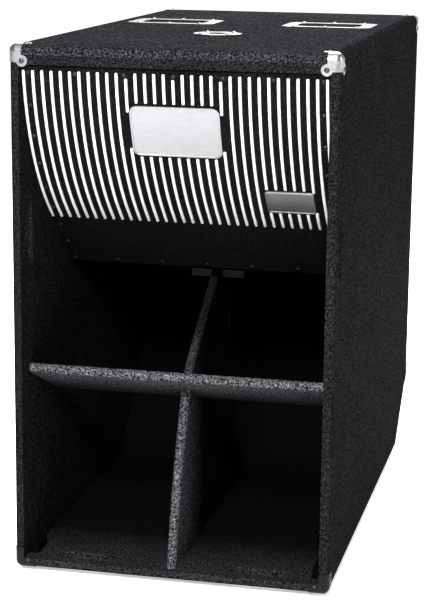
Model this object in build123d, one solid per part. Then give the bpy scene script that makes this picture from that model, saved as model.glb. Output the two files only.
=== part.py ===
from build123d import *
import os
from math import atan2, cos, floor, hypot, radians, sin, tan

# Folded-horn subwoofer cabinet for one large driver, standing on four rubber feet.
# Millimetres. X is the cabinet's right seen from the front, Y points to the back, Z up.
# The origin is on the floor, under the middle of the cabinet.
# Side-view points are (distance behind the front, height above the cabinet's underside).

# ---- driving sizes: cabinet -------------------------------------------------------
body_height = 1000.0
body_depth = 1150.0
wall = 18.0
edge_round = 12.0
touch = 0.01
round_limit = 0.1
foot_height = 10.0
chamfer_height = 135.0
chamfer_depth = 173.0

# ---- driving sizes: driver --------------------------------------------------------
driver_diameter = 546.0
driver_side_gap = 14.0
driver_end_gap = 24.5
driver_tilt = 28.4
driver_back = 227.0

# ---- driving sizes: curved front cover --------------------------------------------
cover_setback = 8.0
cover_thickness = 10.0
cover_radius = 445.0
cover_start_angle = 6.4
cover_turn = 42.4
cover_straight = 200.0
cover_gap = 1.0
cover_gasket = 3.0
batten = 20.0
cover_screw_inset = 13.0
cover_screw_pitch_x = 91.5
cover_screw_pitch_s = 60.0
cover_screw_head = 4.2
cover_screw_rise = 2.0
cover_screw_shank = 2.0
cover_screw_length = 28.0
cover_screw_clear = 0.4

# ---- driving sizes: ribs and blank plates -----------------------------------------
rib_pitch = 17.5
rib_width = 6.2
rib_rise = 3.0
rib_side_margin = 2.4
rib_top = 8.0
rib_bottom_from_edge = 170.0
plate_rise = 3.6
plate_gap = 4.0
badge_size = (168.0, 102.0)
badge_place = (0.0, 119.0)
badge_corner = 14.0
tag_size = (92.0, 60.0)
tag_from_side = 88.0
tag_from_rib_end = 84.0
tag_corner = 6.0

# ---- driving sizes: mouth ---------------------------------------------------------
vane_rear = (222.0, 300.0)
vane_angle = 23.6
vane_chord = 196.0
divider_foot = 13.0
divider_neck = (122.0, 339.0)
divider_low_bulge = 11.0
divider_top_start = (118.0, 360.0)
divider_top_reach = 64.0
divider_top_bulge = 4.0
divider_rear_gap = 128.0
divider_knee_drop = 26.5
divider_rear_foot = 640.0
cleat_size = (18.0, 55.0, 19.0)
cleat_setback = 32.0
cleat_round = 3.0
bracket_size = (45.0, 16.0, 15.0)
bracket_metal = 3.0
bracket_inset = 14.0

# ---- driving sizes: horn inside ---------------------------------------------------
baffle_top = 841.0
throat_gap = 100.0
ramp_angle = 47.0
ramp_above_baffle = 43.5
foot_batten_half = 150.0
brace_reach = 78.0
brace_drop = 92.0
brace_depth = 75.0
brace_round = 12.0
lining_thickness = 10.0
lining_margin = 30.0

# ---- driving sizes: hand slots ----------------------------------------------------
slot_length = 114.0
side_slot_width = 40.0
side_slot_setback = 33.0
side_slot_below_top = 300.0
floor_slot_width = 30.0
floor_slot_setback = 25.0
floor_slot_spacing = 336.0
slot_edge = 4.0

# ---- driving sizes: hardware ------------------------------------------------------
cap_metal = 1.5
cap_reach = (24.0, 28.0, 32.0)
cap_lobe = 10.5
cap_screw_inset = (25.0, 29.0)
low_cap_reach = 38.0
low_cap_screw_inset = (26.0, 15.0)
low_cap_screw_behind = 18.0
low_cap_head = 3.0
screw_head = 5.0
screw_recess = 0.36
screw_recess_depth = 0.6
screw_dome = 2.4
screw_shank = 2.0
screw_length = 14.0
handle_flange = (190.0, 145.0)
handle_corner = 26.0
handle_mouth = (134.0, 92.0)
handle_mouth_corner = 20.0
handle_depth = 55.0
handle_metal = 1.6
lip_round = 0.6
handle_spacing = 336.0
handle_from_front = 705.0
handle_bar = 9.0
handle_bar_below = 13.0
handle_screw_pitch = 66.0
handle_screw_across = 124.0
handle_fit = 0.5
pole_from_front = 368.0
pole_diameter = 35.0
pole_fit = 0.5
pole_metal = 3.0
pole_depth = 80.0
pole_flange = 49.0
pole_screw_circle = 38.0
input_size = (150.0, 110.0)
input_mouth = (112.0, 72.0)
input_depth = 34.0
input_metal = 2.0
input_below_top = 200.0
input_corner = 8.0
socket_radius = 13.0
socket_length = 26.0
socket_spacing = 46.0
socket_collar = 4.0
socket_collar_height = 3.0
socket_wall = 2.5
socket_core = 6.0
foot_radius = 20.0
foot_taper = 2.0
foot_screw_head = 3.0
foot_inset = (60.0, 90.0)
foot_rear = 900.0
foot_screw = 2.2
wheel_radius = 38.0
wheel_width = 30.0
wheel_spacing = 400.0
wheel_lift = 44.0
wheel_rear_gap = 4.0
wheel_hub = 13.0
tyre_depth = 9.0
tyre_round = 5.0
axle_radius = 5.0
axle_head = 9.0
axle_head_height = 4.0
axle_nut_height = 6.0
rim_width = 5.0
rim_step = 2.0
wheel_screw_inset = 7.0
running_fit = 0.05
ear_gap = 1.0
ear_metal = 3.0
ear_half = 15.0
wheel_plate = (70.0, 76.0)
cable_radius = 3.5
cable_fit = 0.3
cable_from_side = 37.0
cable_below_top = 30.0

# ---- driving sizes: inside the driver ---------------------------------------------
flange_thickness = 10.0
driver_gasket = 3.0
flange_ring = 35.0
surround_ring = 12.0
roll_radius = 14.0
skin = 1.5
cone_skin = 2.5
cone_depth = 90.0
coil_radius = 78.0
former_skin = 1.5
coil_wire = 2.0
coil_height = 32.0
magnetic_gap = 1.0
plate_thickness = 12.0
back_thickness = 14.0
magnet_radius = 140.0
magnet_hole = 100.0
magnet_height = 50.0
plate_radius = 125.0
spider_radius = 140.0
spider_ring = 12.0
spider_lift = 4.0
spider_seat = 8.0
leg_count = 8
leg_width = 34.0
leg_depth = 13.0
seat_height = 8.0
dome_radius = 100.0
dome_height = 30.0
pole_vent = 20.0
driver_bolt_count = 8
driver_bolt = 3.0
driver_bolt_head = 6.0
driver_bolt_head_height = 5.0
driver_bolt_fit = 0.3
terminal_block_size = (34.0, 14.0)
terminal_post_radius = 3.5
terminal_post_length = 12.0
terminal_post_spacing = 18.0
cone_lip = 9.0
spider_steps = 4
spider_wave = 3.0
driver_bolt_inset = 10.0

# ---- derived sizes ----------------------------------------------------------------
inner_width = driver_diameter + 2 * driver_side_gap
body_width = inner_width + 2 * wall
half_inner = inner_width / 2
half_width = body_width / 2
ceiling = body_height - wall
rear_face = body_depth - wall
cover_top = body_height - 2 * wall - 2
cover_width = inner_width - 2 * cover_gap
cover_arc = cover_radius * radians(cover_turn)
cover_length = cover_arc + cover_straight
rib_bottom = cover_length - rib_bottom_from_edge
driver_radius = driver_diameter / 2
baffle_length = driver_diameter + 2 * driver_end_gap
lean = radians(driver_tilt)
baffle_foot = (baffle_top - baffle_length * sin(lean), ceiling - baffle_length * cos(lean))
brace_low = baffle_foot[1] - brace_drop
divider_rear = baffle_foot[0] - divider_rear_gap
divider_rear_knee = brace_low - divider_knee_drop
cable_side = half_inner - cable_from_side
ramp_height = baffle_foot[1] + ramp_above_baffle
ramp_start = rear_face - (ramp_height - wall) / tan(radians(ramp_angle))
throat_top = baffle_top + wall / cos(lean) + throat_gap
far = 3 * (body_height + body_depth)
top_corners = ((0, body_height), (body_depth, body_height))
low_rear_corner = (body_depth, chamfer_height)
upwards = (Align.CENTER, Align.CENTER, Align.MIN)
downwards = (Align.CENTER, Align.CENTER, Align.MAX)


# ---- helpers ----------------------------------------------------------------------
def side_point(point):
    """A side-view point in the part's own (y, z)."""
    return (point[0] - body_depth / 2, point[1] + foot_height)


def place(x, behind, up):
    """A position in the part's own frame."""
    return (x, behind - body_depth / 2, up + foot_height)


def side_face(points):
    """A flat face from side-view corner points."""
    corners = [side_point(point) for point in points]
    return Plane.YZ * make_face(Polyline(*corners, close=True))


def board(points, width=inner_width, middle=0.0):
    """A flat board with a polygon side view, running across the cabinet."""
    return Pos(middle, 0, 0) * extrude(side_face(points), amount=width / 2, both=True)


def block(low, high):
    """A box between two corners given as x, distance behind the front, height."""
    size = [b - a for a, b in zip(low, high)]
    middle = [(a + b) / 2 for a, b in zip(low, high)]
    return Location(place(*middle)) * Box(*size)


def both_sides(piece):
    """The piece and its mirror image in the cabinet's middle plane."""
    return Compound(children=[*piece.solids(), *mirror(piece, about=Plane.YZ).solids()])


def gather(pieces):
    """Several separate solids as one shape."""
    return Compound(children=[solid for piece in pieces for solid in piece.solids()])


def screw(head=screw_head, dome=screw_dome, shank=screw_shank, length=screw_length):
    """A dome-head screw standing on the XY plane with its shank below."""
    ball = (head**2 + dome**2) / (2 * dome)
    cap = Pos(0, 0, dome - ball) * Sphere(ball)
    trim = Cylinder(head, dome, align=upwards)
    stem = Cylinder(shank, length, align=downwards)
    socket = RegularPolygon(head * screw_recess, 6)
    recess = Pos(0, 0, dome) * extrude(socket, amount=-dome * screw_recess_depth)
    return (cap & trim) - recess + stem


def screw_hole(shank=screw_shank, length=screw_length):
    """The hole that a screw's shank fills."""
    return Cylinder(shank, length, align=downwards)


def one_solid(piece):
    """The single solid of a piece made by joining others."""
    return piece.solids()[0]


# ---- cabinet ----------------------------------------------------------------------
def envelope(grow=0.0):
    """The cabinet's outer shape with all its edges rounded, grown outwards by a margin."""
    corners = [
        (0, 0),
        (body_depth - chamfer_depth, 0),
        (body_depth, chamfer_height),
        (body_depth, body_height),
        (0, body_height),
    ]
    outline = side_face(corners)
    if grow:
        outline = offset(outline, grow, kind=Kind.INTERSECTION)
    outline = fillet(outline.vertices(), edge_round + grow)
    solid = extrude(outline, amount=half_width + grow, both=True)
    rims = solid.faces().filter_by(Axis.X).edges()
    return fillet(rims, edge_round + grow)


def inner_region(low, high):
    """A box across the inside width between two side-view corners."""
    return block((-half_inner, *low), (half_inner, *high))


def side_slot():
    """Cutter for the upright hand slot in the right side panel."""
    middle = side_slot_setback + side_slot_width / 2
    height = body_height - side_slot_below_top - slot_length / 2
    shape = SlotOverall(slot_length, side_slot_width, rotation=90)
    plane = Plane(origin=place(half_width + 1, middle, height), x_dir=(0, 1, 0), z_dir=(1, 0, 0))
    return extrude(plane * shape, amount=-wall - 2)


def side_panel():
    """Right side panel with its hand slot and rounded slot rims."""
    region = block((half_inner, -1, -1), (half_width + 1, body_depth + 1, body_height + 1))
    panel = drilled((envelope() & region) - side_slot(), cap_screw_places())
    slot_rims = [edge for edge in panel.edges() if touches_slot(edge)]
    return fillet(slot_rims, slot_edge)


def touches_slot(edge):
    """Whether an edge lies on a flat face round the side slot's mouth."""
    box = edge.bounding_box()
    flat = box.size.X < touch
    low = side_point((side_slot_setback, 0))[0] - touch
    high = side_point((side_slot_setback + side_slot_width, 0))[0] + touch
    return flat and box.min.Y > low and box.max.Y < high and box.min.Z > low_slot_height()


def low_slot_height():
    """A height just under the side slot."""
    return place(0, 0, body_height - side_slot_below_top - slot_length)[2] - 1


def handle_spots():
    """Centres of the two top handles on the cabinet's top."""
    return [place(side * handle_spacing / 2, handle_from_front, body_height) for side in (-1, 1)]


def top_panel():
    """Top board with two handle cut-outs and the pole hole."""
    panel = envelope() & inner_region((-1, ceiling), (body_depth + 1, body_height + 1))
    mouth = [size + 2 * (handle_metal + handle_fit) for size in handle_mouth]
    cutter = extrude(RectangleRounded(*mouth, handle_mouth_corner + handle_metal), amount=-wall - 1)
    for spot in handle_spots():
        panel -= Pos(*spot) * cutter
        for screw_spot in handle_screw_spots(spot):
            panel -= Pos(*screw_spot) * screw_hole()
    panel -= Pos(*pole_spot()) * Cylinder(pole_tube_radius() + handle_fit, 3 * wall)
    for screw_spot in pole_screw_spots():
        panel -= screw_spot * screw_hole()
    return drilled(panel, cap_screw_places())


def chamfer_plane():
    """Plane on the middle of the rear chamfer's outer face, facing out."""
    middle = place(0, body_depth - chamfer_depth / 2, chamfer_height / 2)
    return Plane(origin=middle, x_dir=(1, 0, 0), z_dir=(0, chamfer_height, -chamfer_depth))


def chamfer_board():
    """Sloping board between the bottom and the rear panel."""
    slab = extrude(chamfer_plane() * Rectangle(inner_width, far), amount=-wall)
    board_solid = envelope() & slab
    for spot in wheel_plate_screws():
        board_solid -= spot * screw_hole()
    return board_solid


def chamfer_cut():
    """Everything on and outside the chamfer board's inner face."""
    plane = chamfer_plane().offset(-wall)
    return extrude(plane * Rectangle(far, far), amount=far)


def floor_slots():
    """Cutter for the two hand slots in the bottom board."""
    shape = extrude(SlotOverall(slot_length, floor_slot_width), amount=wall + 2)
    behind = floor_slot_setback + floor_slot_width / 2
    places = [place(side * floor_slot_spacing / 2, behind, -1) for side in (-1, 1)]
    return gather([Pos(*spot) * shape for spot in places])


def bottom_board():
    """Bottom board with two hand slots and pilot holes for the feet."""
    panel = envelope() & inner_region((-1, -1), (body_depth + 1, wall))
    panel = (panel - chamfer_cut()) - floor_slots()
    rims = [edge for edge in panel.edges() if touches_floor_slot(edge)]
    panel = fillet(rims, slot_edge)
    for spot in foot_spots():
        panel -= Pos(*spot) * Cylinder(foot_screw, wall, align=upwards)
    return drilled(panel, cap_screw_places())


def touches_floor_slot(edge):
    """Whether an edge lies on a flat face round a floor slot's mouth."""
    box = edge.bounding_box()
    low = side_point((floor_slot_setback, 0))[0] - touch
    high = side_point((floor_slot_setback + floor_slot_width, 0))[0] + touch
    reach = floor_slot_spacing / 2 - slot_length / 2 - touch
    inside = min(abs(box.min.X), abs(box.max.X)) > reach and box.size.X < slot_length + touch
    return box.size.Z < touch and box.min.Y > low and box.max.Y < high and inside


def input_spot():
    """Centre of the input plate on the rear face."""
    return place(0, body_depth, body_height - input_below_top)


def rear_plane():
    """Plane on the rear face at the input plate, facing back."""
    return Plane(origin=input_spot(), x_dir=(-1, 0, 0), z_dir=(0, 1, 0))


def rear_board():
    """Rear board with the input plate's cut-out."""
    panel = envelope() & inner_region((rear_face, -1), (body_depth + 1, ceiling))
    panel -= chamfer_cut()
    mouth = [size + 2 * (input_metal + handle_fit) for size in input_mouth]
    panel -= extrude(rear_plane() * RectangleRounded(*mouth, input_corner), amount=-2 * wall)
    return drilled(panel, input_screw_spots() + cap_screw_places())


def header_rail():
    """Rail under the front of the top board, down to the curved cover."""
    rail = envelope() & inner_region((-1, ceiling - wall), (wall, ceiling))
    return drilled(rail, cap_screw_places())


# ---- curved front cover -----------------------------------------------------------
def cover_point(along, lift=0.0):
    """Side-view point on the cover, measured down its curve and out from its face."""
    angle = radians(cover_start_angle) + min(along, cover_arc) / cover_radius
    start = radians(cover_start_angle)
    behind = cover_setback + cover_radius * (cos(start) - cos(angle))
    up = cover_top - cover_radius * (sin(angle) - sin(start))
    past = max(along - cover_arc, 0)
    behind += past * sin(angle) - lift * cos(angle)
    up += -past * cos(angle) - lift * sin(angle)
    return (behind, up)


def lane(start, end, lift):
    """Edges along the cover's curve between two distances, at one height off its face."""
    edges = []
    bend = min(end, cover_arc)
    if start < cover_arc:
        stops = [side_point(cover_point(spot, lift)) for spot in (start, (start + bend) / 2, bend)]
        edges.append(ThreePointArc(*stops))
    if end > cover_arc:
        straight = max(start, cover_arc)
        ends = [side_point(cover_point(spot, lift)) for spot in (straight, end)]
        edges.append(Line(*ends))
    return edges


def cover_strip(start, end, low, high, width, middle=0.0):
    """A strip that follows the cover's curve, between two heights off its face."""
    edges = lane(start, end, low) + lane(start, end, high)
    for spot in (start, end):
        edges.append(Line(side_point(cover_point(spot, low)), side_point(cover_point(spot, high))))
    outline = Plane.YZ * make_face(edges)
    return Pos(middle, 0, 0) * extrude(outline, amount=width / 2, both=True)


def cover_plane(x, along, lift=0.0):
    """Plane lying on the cover's face, its y axis up the curve."""
    angle = radians(cover_start_angle) + min(along, cover_arc) / cover_radius
    return Plane(
        origin=place(x, *cover_point(along, lift)), x_dir=(1, 0, 0), z_dir=(0, -cos(angle), -sin(angle))
    )


def cover_screw_places():
    """Planes for the cover's screws, all round its rim."""
    across = 2 * floor((cover_width / 2 - cover_screw_inset + 1) / cover_screw_pitch_x) + 1
    columns = [(i - (across - 1) / 2) * cover_screw_pitch_x for i in range(across)]
    span = cover_length - 2 * cover_screw_inset
    rows = round(span / cover_screw_pitch_s)
    steps = [cover_screw_inset + span * i / rows for i in range(rows + 1)]
    edge = cover_width / 2 - cover_screw_inset
    spots = [(x, steps[end]) for x in columns for end in (0, -1) if abs(x) < edge - cover_screw_head]
    spots += [(side * edge, along) for side in (-1, 1) for along in steps]
    return [cover_plane(*spot) for spot in spots]


def front_cover():
    """Curved cover over the driver chamber, open under each screw."""
    cover = cover_strip(0, cover_length, -cover_thickness, 0, cover_width) & under_header()
    hole = screw_hole(cover_screw_shank, cover_thickness + 1)
    for spot in cover_screw_places():
        cover -= spot.location * hole
    return cover


def under_header():
    """The space below the header rail, with the cover's gap."""
    return inner_region((0, 0), (rear_face, ceiling - wall - cover_gap))


def cover_screws():
    """Dome-head screws round the cover."""
    piece = screw(cover_screw_head, cover_screw_rise, cover_screw_shank, cover_screw_length)
    return gather([spot.location * piece for spot in cover_screw_places()])


def cover_frame(low, high, width):
    """Strips behind the cover's two sides and its top edge."""
    edge = half_inner - width / 2
    sides = cover_strip(0, cover_length, low, high, width, edge)
    bar = cover_strip(0, width, low, high, inner_width - 2 * width)
    return gather([both_sides(sides), bar])


def screwed(piece):
    """The piece with a hole for each cover screw that reaches it."""
    hole = screw_hole(cover_screw_shank, cover_screw_length)
    cutters = [spot.location * hole for spot in cover_screw_places()]
    return gather([cut_by(solid, cutters) for solid in piece.solids()])


def cut_by(solid, cutters):
    """A solid with each cutter taken out of it."""
    for cutter in cutters:
        solid = solid - cutter
    return solid


def cover_gasket_strips():
    """Foam strips between the cover, its battens and the chamber floor."""
    low = -cover_thickness - cover_gasket
    frame = cover_frame(low, -cover_thickness, batten)
    between = inner_width - 2 * batten
    bevel = cover_strip(cover_length - floor_bevel(), cover_length, low, -cover_thickness, between)
    limit = under_header()
    return screwed(gather([solid & limit for solid in frame.solids() + bevel.solids()]))


def cover_battens():
    """Battens glued inside the cabinet that the cover screws into."""
    high = -cover_thickness - cover_gasket
    frame = cover_frame(high - batten, high, batten)
    limit = inner_region((0, 0), (rear_face, ceiling)) - header_rail()
    floor_board = board(floor_outline())
    return screwed(gather([(solid & limit) - floor_board for solid in frame.solids()]))


def plate_outline(size, corner, grow=0.0):
    """Rounded rectangle of a blank plate."""
    return RectangleRounded(size[0] + 2 * grow, size[1] + 2 * grow, corner + grow)


def badge_prism(grow=0.0):
    """Column through the cover in the shape of the large blank plate."""
    plane = cover_plane(*badge_place)
    return extrude(plane * plate_outline(badge_size, badge_corner, grow), amount=batten, both=True)


def tag_prism(grow=0.0):
    """Column through the cover in the shape of the small blank plate."""
    spot = (half_inner - tag_from_side, rib_bottom - tag_from_rib_end)
    outline = plate_outline(tag_size, tag_corner, grow)
    return extrude(cover_plane(*spot) * outline, amount=batten, both=True)


def rib(middle):
    """One raised rib with a rounded lower end."""
    strip = cover_strip(rib_top, rib_bottom, 0, rib_rise, rib_width, middle)
    low = place(0, *cover_point(rib_bottom))
    ends = [edge for edge in strip.edges() if stands_at(edge, low[1], low[2])]
    return fillet(ends, rib_width / 2 - round_limit)


def stands_at(edge, y, z):
    """Whether a short edge stands off the cover at the ribs' lower end."""
    box = edge.bounding_box()
    reach = 2 * rib_rise
    near = abs(box.min.Y - y) < reach and abs(box.min.Z - z) < reach
    return near and box.size.X < touch and abs(edge.length - rib_rise) < touch


def rib_group():
    """All the ribs, interrupted round the two blank plates."""
    count = floor((cover_width / 2 - rib_side_margin - rib_width / 2) / rib_pitch)
    gaps = badge_prism(plate_gap) + tag_prism(plate_gap)
    ribs = []
    for i in range(-count, count + 1):
        piece = rib(i * rib_pitch)
        ribs.append(piece - gaps)
    head = Cylinder(cover_screw_head + cover_screw_clear, batten)
    heads = gather([spot.location * head for spot in cover_screw_places()])
    return gather([clear_of(piece, heads) for piece in ribs])


def clear_of(piece, others):
    """The piece with every solid of another shape cut away."""
    box = piece.bounding_box()
    for other in others.solids():
        near = other.bounding_box()
        if near.min.X < box.max.X and near.max.X > box.min.X:
            piece = piece - other
    return piece


def badge_plate():
    """Large blank plate on the cover."""
    return cover_strip(0, cover_arc, 0, plate_rise, cover_width) & badge_prism()


def tag_plate():
    """Small blank plate at the lower right of the ribs."""
    return cover_strip(0, cover_length, 0, plate_rise, cover_width) & tag_prism()


# ---- mouth ------------------------------------------------------------------------
def vane_direction():
    """Unit side-view directions along the vane, towards its nose, and up off it."""
    angle = radians(vane_angle)
    return (-cos(angle), sin(angle)), (sin(angle), cos(angle))


def vane():
    """Tilted board across the mouth with a rounded nose."""
    forward, upward = vane_direction()
    nose = [vane_rear[i] + vane_chord * forward[i] for i in (0, 1)]
    top_nose = [nose[i] + wall * upward[i] for i in (0, 1)]
    top_rear = [vane_rear[i] + wall * upward[i] for i in (0, 1)]
    solid = board([vane_rear, nose, top_nose, top_rear])
    front = solid.edges().filter_by(Axis.X).sort_by(Axis.Y)[:2]
    return fillet(front, wall / 2 - round_limit)


def floor_front():
    """Side-view point where the chamber floor starts, behind the cover's lower edge."""
    return cover_point(cover_length, -cover_thickness - cover_gasket)


def floor_slope():
    """Slope of the chamber floor, height over distance back."""
    start = floor_front()
    return (baffle_foot[1] - start[1]) / (baffle_foot[0] - start[0])


def floor_rise():
    """Upright thickness of the sloping chamber floor."""
    return wall * hypot(1, floor_slope())


def floor_bevel():
    """Length of the chamber floor's front bevel, along the cover."""
    angle = radians(cover_start_angle + cover_turn)
    return floor_rise() / (cos(angle) + floor_slope() * sin(angle))


def floor_outline():
    """Side view of the chamber floor, with its front bevelled to the cover."""
    start = floor_front()
    top_front = cover_point(cover_length - floor_bevel(), -cover_thickness - cover_gasket)
    top_back = (baffle_foot[0] + wall, floor_height(baffle_foot[0] + wall) + floor_rise())
    return [start, baffle_foot, top_back, top_front]


def floor_height(behind):
    """Height of the chamber floor's underside at a distance behind the front."""
    start = floor_front()
    return start[1] + floor_slope() * (behind - start[0])


def bulge(start, end, depth):
    """Middle point of an arc between two side-view points, pushed towards the front."""
    length = hypot(end[0] - start[0], end[1] - start[1])
    across = ((start[1] - end[1]) / length, (end[0] - start[0]) / length)
    return [(start[i] + end[i]) / 2 + depth * across[i] for i in (0, 1)]


def divider():
    """Upright board that halves the mouth, slotted for the vane."""
    foot = (divider_foot, wall)
    head_behind = floor_front()[0] + divider_top_reach
    head = (head_behind, floor_height(head_behind))
    tail = (divider_rear, floor_height(divider_rear))
    low_mid = bulge(foot, divider_neck, divider_low_bulge)
    top_mid = bulge(divider_top_start, head, divider_top_bulge)
    edges = [
        ThreePointArc(*[side_point(point) for point in (foot, low_mid, divider_neck)]),
        Line(side_point(divider_neck), side_point(divider_top_start)),
        ThreePointArc(*[side_point(point) for point in (divider_top_start, top_mid, head)]),
    ]
    rest = [head, tail, (divider_rear, divider_rear_knee), (divider_rear_foot, wall), foot]
    edges += [Line(side_point(a), side_point(b)) for a, b in zip(rest, rest[1:])]
    solid = extrude(Plane.YZ * make_face(edges), amount=wall / 2, both=True)
    arcs = [edge for edge in solid.edges() if edge.geom_type == GeomType.CIRCLE]
    return fillet(arcs, wall / 2 - 2 * round_limit) - vane()


def corner_cleats():
    """Two glue blocks in the lower front corners."""
    low = (half_inner - cleat_size[0], cleat_setback, wall)
    high = (half_inner, cleat_setback + cleat_size[1], wall + cleat_size[2])
    solid = block(low, high)
    return both_sides(fillet(solid.faces().sort_by(Axis.Z)[-1].edges().sort_by(Axis.X)[:1], cleat_round))


def divider_brackets():
    """Two steel angles between the divider and the chamber floor."""
    width, depth, drop = bracket_size
    front = floor_front()[0] + divider_top_reach + bracket_inset
    corners = [(front, floor_height(front)), (front + depth, floor_height(front + depth))]
    outline = [
        corners[0],
        corners[1],
        (corners[1][0], corners[1][1] - bracket_metal),
        (front + bracket_metal, corners[0][1] - bracket_metal - 1),
        (front + bracket_metal, corners[0][1] - drop),
        (front, corners[0][1] - drop),
    ]
    return both_sides(board(outline, width, wall / 2 + width / 2))


# ---- horn inside ------------------------------------------------------------------
def baffle_shift(distance):
    """Side-view baffle foot moved back at right angles to the baffle."""
    return (baffle_foot[0] + distance * cos(lean), baffle_foot[1] - distance * sin(lean))


def driver_plane():
    """Plane on the baffle's chamber face at the driver's centre, facing the throat."""
    middle = baffle_length / 2
    spot = (baffle_foot[0] + middle * sin(lean), baffle_foot[1] + middle * cos(lean))
    return Plane(origin=place(0, *spot), x_dir=(1, 0, 0), z_dir=(0, cos(lean), -sin(lean)))


def baffle():
    """Sloping board that carries the driver."""
    back = baffle_shift(wall)
    top_back = (baffle_top + wall / cos(lean), ceiling)
    solid = board([baffle_foot, (baffle_top, ceiling), top_back, back])
    opening = driver_radius - flange_ring + surround_ring
    solid -= driver_plane().location * Cylinder(opening, 3 * wall)
    for spot in driver_bolt_spots():
        hole = Cylinder(driver_bolt, wall, align=upwards)
        solid -= driver_plane().location * spot * hole
    return solid - cable_hole()


def chamber_floor():
    """Board from the cover's lower edge back to the baffle's foot."""
    return screwed(board(floor_outline()) - baffle())


def foot_battens():
    """Batten under the back edge of the chamber floor, in two lengths."""
    behind = baffle_foot[0] - wall
    top = floor_height(behind)
    low = floor_height(baffle_foot[0]) - wall
    points = [(behind, low), (behind, top), baffle_foot, (baffle_foot[0], low)]
    return board(points, 2 * foot_batten_half) - brace()


def brace():
    """Rail on edge in the middle plane, from the chamber floor back to the ramp."""
    top = brace_low + brace_depth
    front = baffle_foot[0] - brace_reach
    slope = tan(radians(ramp_angle))
    points = [
        (front, brace_low),
        (front, floor_height(front)),
        baffle_foot,
        baffle_shift(wall),
        (baffle_foot[0] + 2 * wall, top),
        (ramp_start + (top - wall) / slope, top),
        (ramp_start + (brace_low - wall) / slope, brace_low),
    ]
    solid = board(points, wall)
    corner = solid.edges().filter_by(Axis.X).sort_by(Axis.Y)[:2].sort_by(Axis.Z)[:1]
    return fillet(corner, brace_round)


def ramp():
    """Rear reflector from the bottom board up to the rear board."""
    slope = radians(ramp_angle)
    points = [
        (ramp_start, wall),
        (rear_face, ramp_height),
        (rear_face, ramp_height - wall / cos(slope)),
        (ramp_start + wall / sin(slope), wall),
    ]
    return board(points)


def throat_board():
    """Upper reflector that narrows the throat behind the driver."""
    run = rear_face - throat_top
    drop = ceiling - ramp_height
    span = hypot(run, drop)
    points = [
        (throat_top, ceiling),
        (rear_face, ramp_height),
        (rear_face, ramp_height + wall * span / run),
        (throat_top + wall * span / drop, ceiling),
    ]
    return board(points) - cable_hole()


def chamber_lining():
    """Felt on the two side walls of the driver chamber."""
    front = cover_point(cover_arc, -cover_thickness - cover_gasket - batten - lining_margin)
    top = ceiling - lining_margin
    rear_low = (baffle_foot[0] - lining_margin, baffle_foot[1] + 2 * lining_margin + wall)
    rear_top = (baffle_top - 2 * lining_margin, top)
    front_top = (cover_setback + 3 * lining_margin + batten, top)
    low_front = cover_point(cover_length - 2 * lining_margin, -cover_thickness - batten - lining_margin)
    points = [front_top, rear_top, rear_low, low_front, front]
    return both_sides(board(points, lining_thickness, half_inner - lining_thickness / 2))


# ---- driver, built on its own plane: z towards the throat, 0 on the baffle's face ----
flange_face = -driver_gasket
flange_back = flange_face - flange_thickness
hub_face = -driver_back + back_thickness + magnet_height + plate_thickness
roll_outer = driver_radius - flange_ring
roll_middle = roll_outer - roll_radius
cone_edge = roll_middle - roll_radius
cone_neck = flange_face - skin - cone_depth
coil_middle = hub_face - plate_thickness / 2
former_low = coil_middle - coil_height / 2
spider_level = (cone_neck + hub_face) / 2 + spider_lift
shelf = spider_level - spider_seat


def ring(outer, inner, low, high):
    """A flat ring between two heights."""
    tube = Cylinder(outer, high - low) - Cylinder(inner, high - low)
    return Pos(0, 0, (low + high) / 2) * tube


def turned(points):
    """A solid of revolution about Z from (radius, height) corner points."""
    corners = [(r, 0, z) for r, z in points]
    return revolve(make_face(Polyline(*corners, close=True)), Axis.Z)


def driver_bolt_spots():
    """Places of the driver's mounting bolts on its own plane."""
    radius = driver_radius - driver_bolt_inset
    turn = 360 / driver_bolt_count
    return [Rot(0, 0, turn * (i + 0.5)) * Pos(radius, 0, 0) for i in range(driver_bolt_count)]


def skirt_inner(level):
    """Inner radius of the frame's conical skirt at a level."""
    top = driver_radius - flange_ring - 2
    low = spider_radius + spider_ring
    return low + (top - low) * (level - hub_face) / (flange_back + 2 - hub_face)


def driver_frame():
    """Cast frame: mounting flange, legs, spider shelf and the seat on the magnet."""
    skirt_top = flange_back + 2
    skirt_points = [
        (skirt_inner(skirt_top), skirt_top),
        (skirt_inner(skirt_top) + leg_depth, skirt_top),
        (skirt_inner(hub_face) + leg_depth, hub_face),
        (skirt_inner(hub_face), hub_face),
    ]
    shell = turned(skirt_points) - Rot(0, 0, 180 / leg_count) * leg_gaps()
    seat = ring(skirt_inner(hub_face) + leg_depth, magnet_hole - 6, hub_face, hub_face + seat_height)
    spider_seat = ring(skirt_inner(shelf) + leg_depth / 2, spider_radius, shelf, spider_level)
    flange = ring(driver_radius, driver_radius - flange_ring, flange_back, flange_face)
    frame = flange + shell + seat + spider_seat
    for spot in driver_bolt_spots():
        frame -= spot * Cylinder(driver_bolt + driver_bolt_fit, 6 * driver_gasket + 6 * flange_thickness)
    return one_solid(frame)


def leg_gaps():
    """Cutter for the windows between the frame's legs."""
    low = hub_face + seat_height
    high = flange_back
    depth = high - low
    slab = Pos(0, 0, (low + high) / 2) * Box(2 * driver_diameter, leg_width, depth)
    legs = slab
    for i in range(1, leg_count // 2):
        legs += Rot(0, 0, 360 / leg_count * i) * slab
    return Pos(0, 0, (low + high) / 2) * Cylinder(driver_radius, depth) - legs


def driver_seal():
    """Gasket ring under the driver's flange."""
    inner = driver_radius - flange_ring + surround_ring
    seal = ring(driver_radius, inner, flange_face, 0)
    for spot in driver_bolt_spots():
        seal -= spot * Cylinder(driver_bolt + driver_bolt_fit, 6 * driver_gasket)
    return seal


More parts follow.
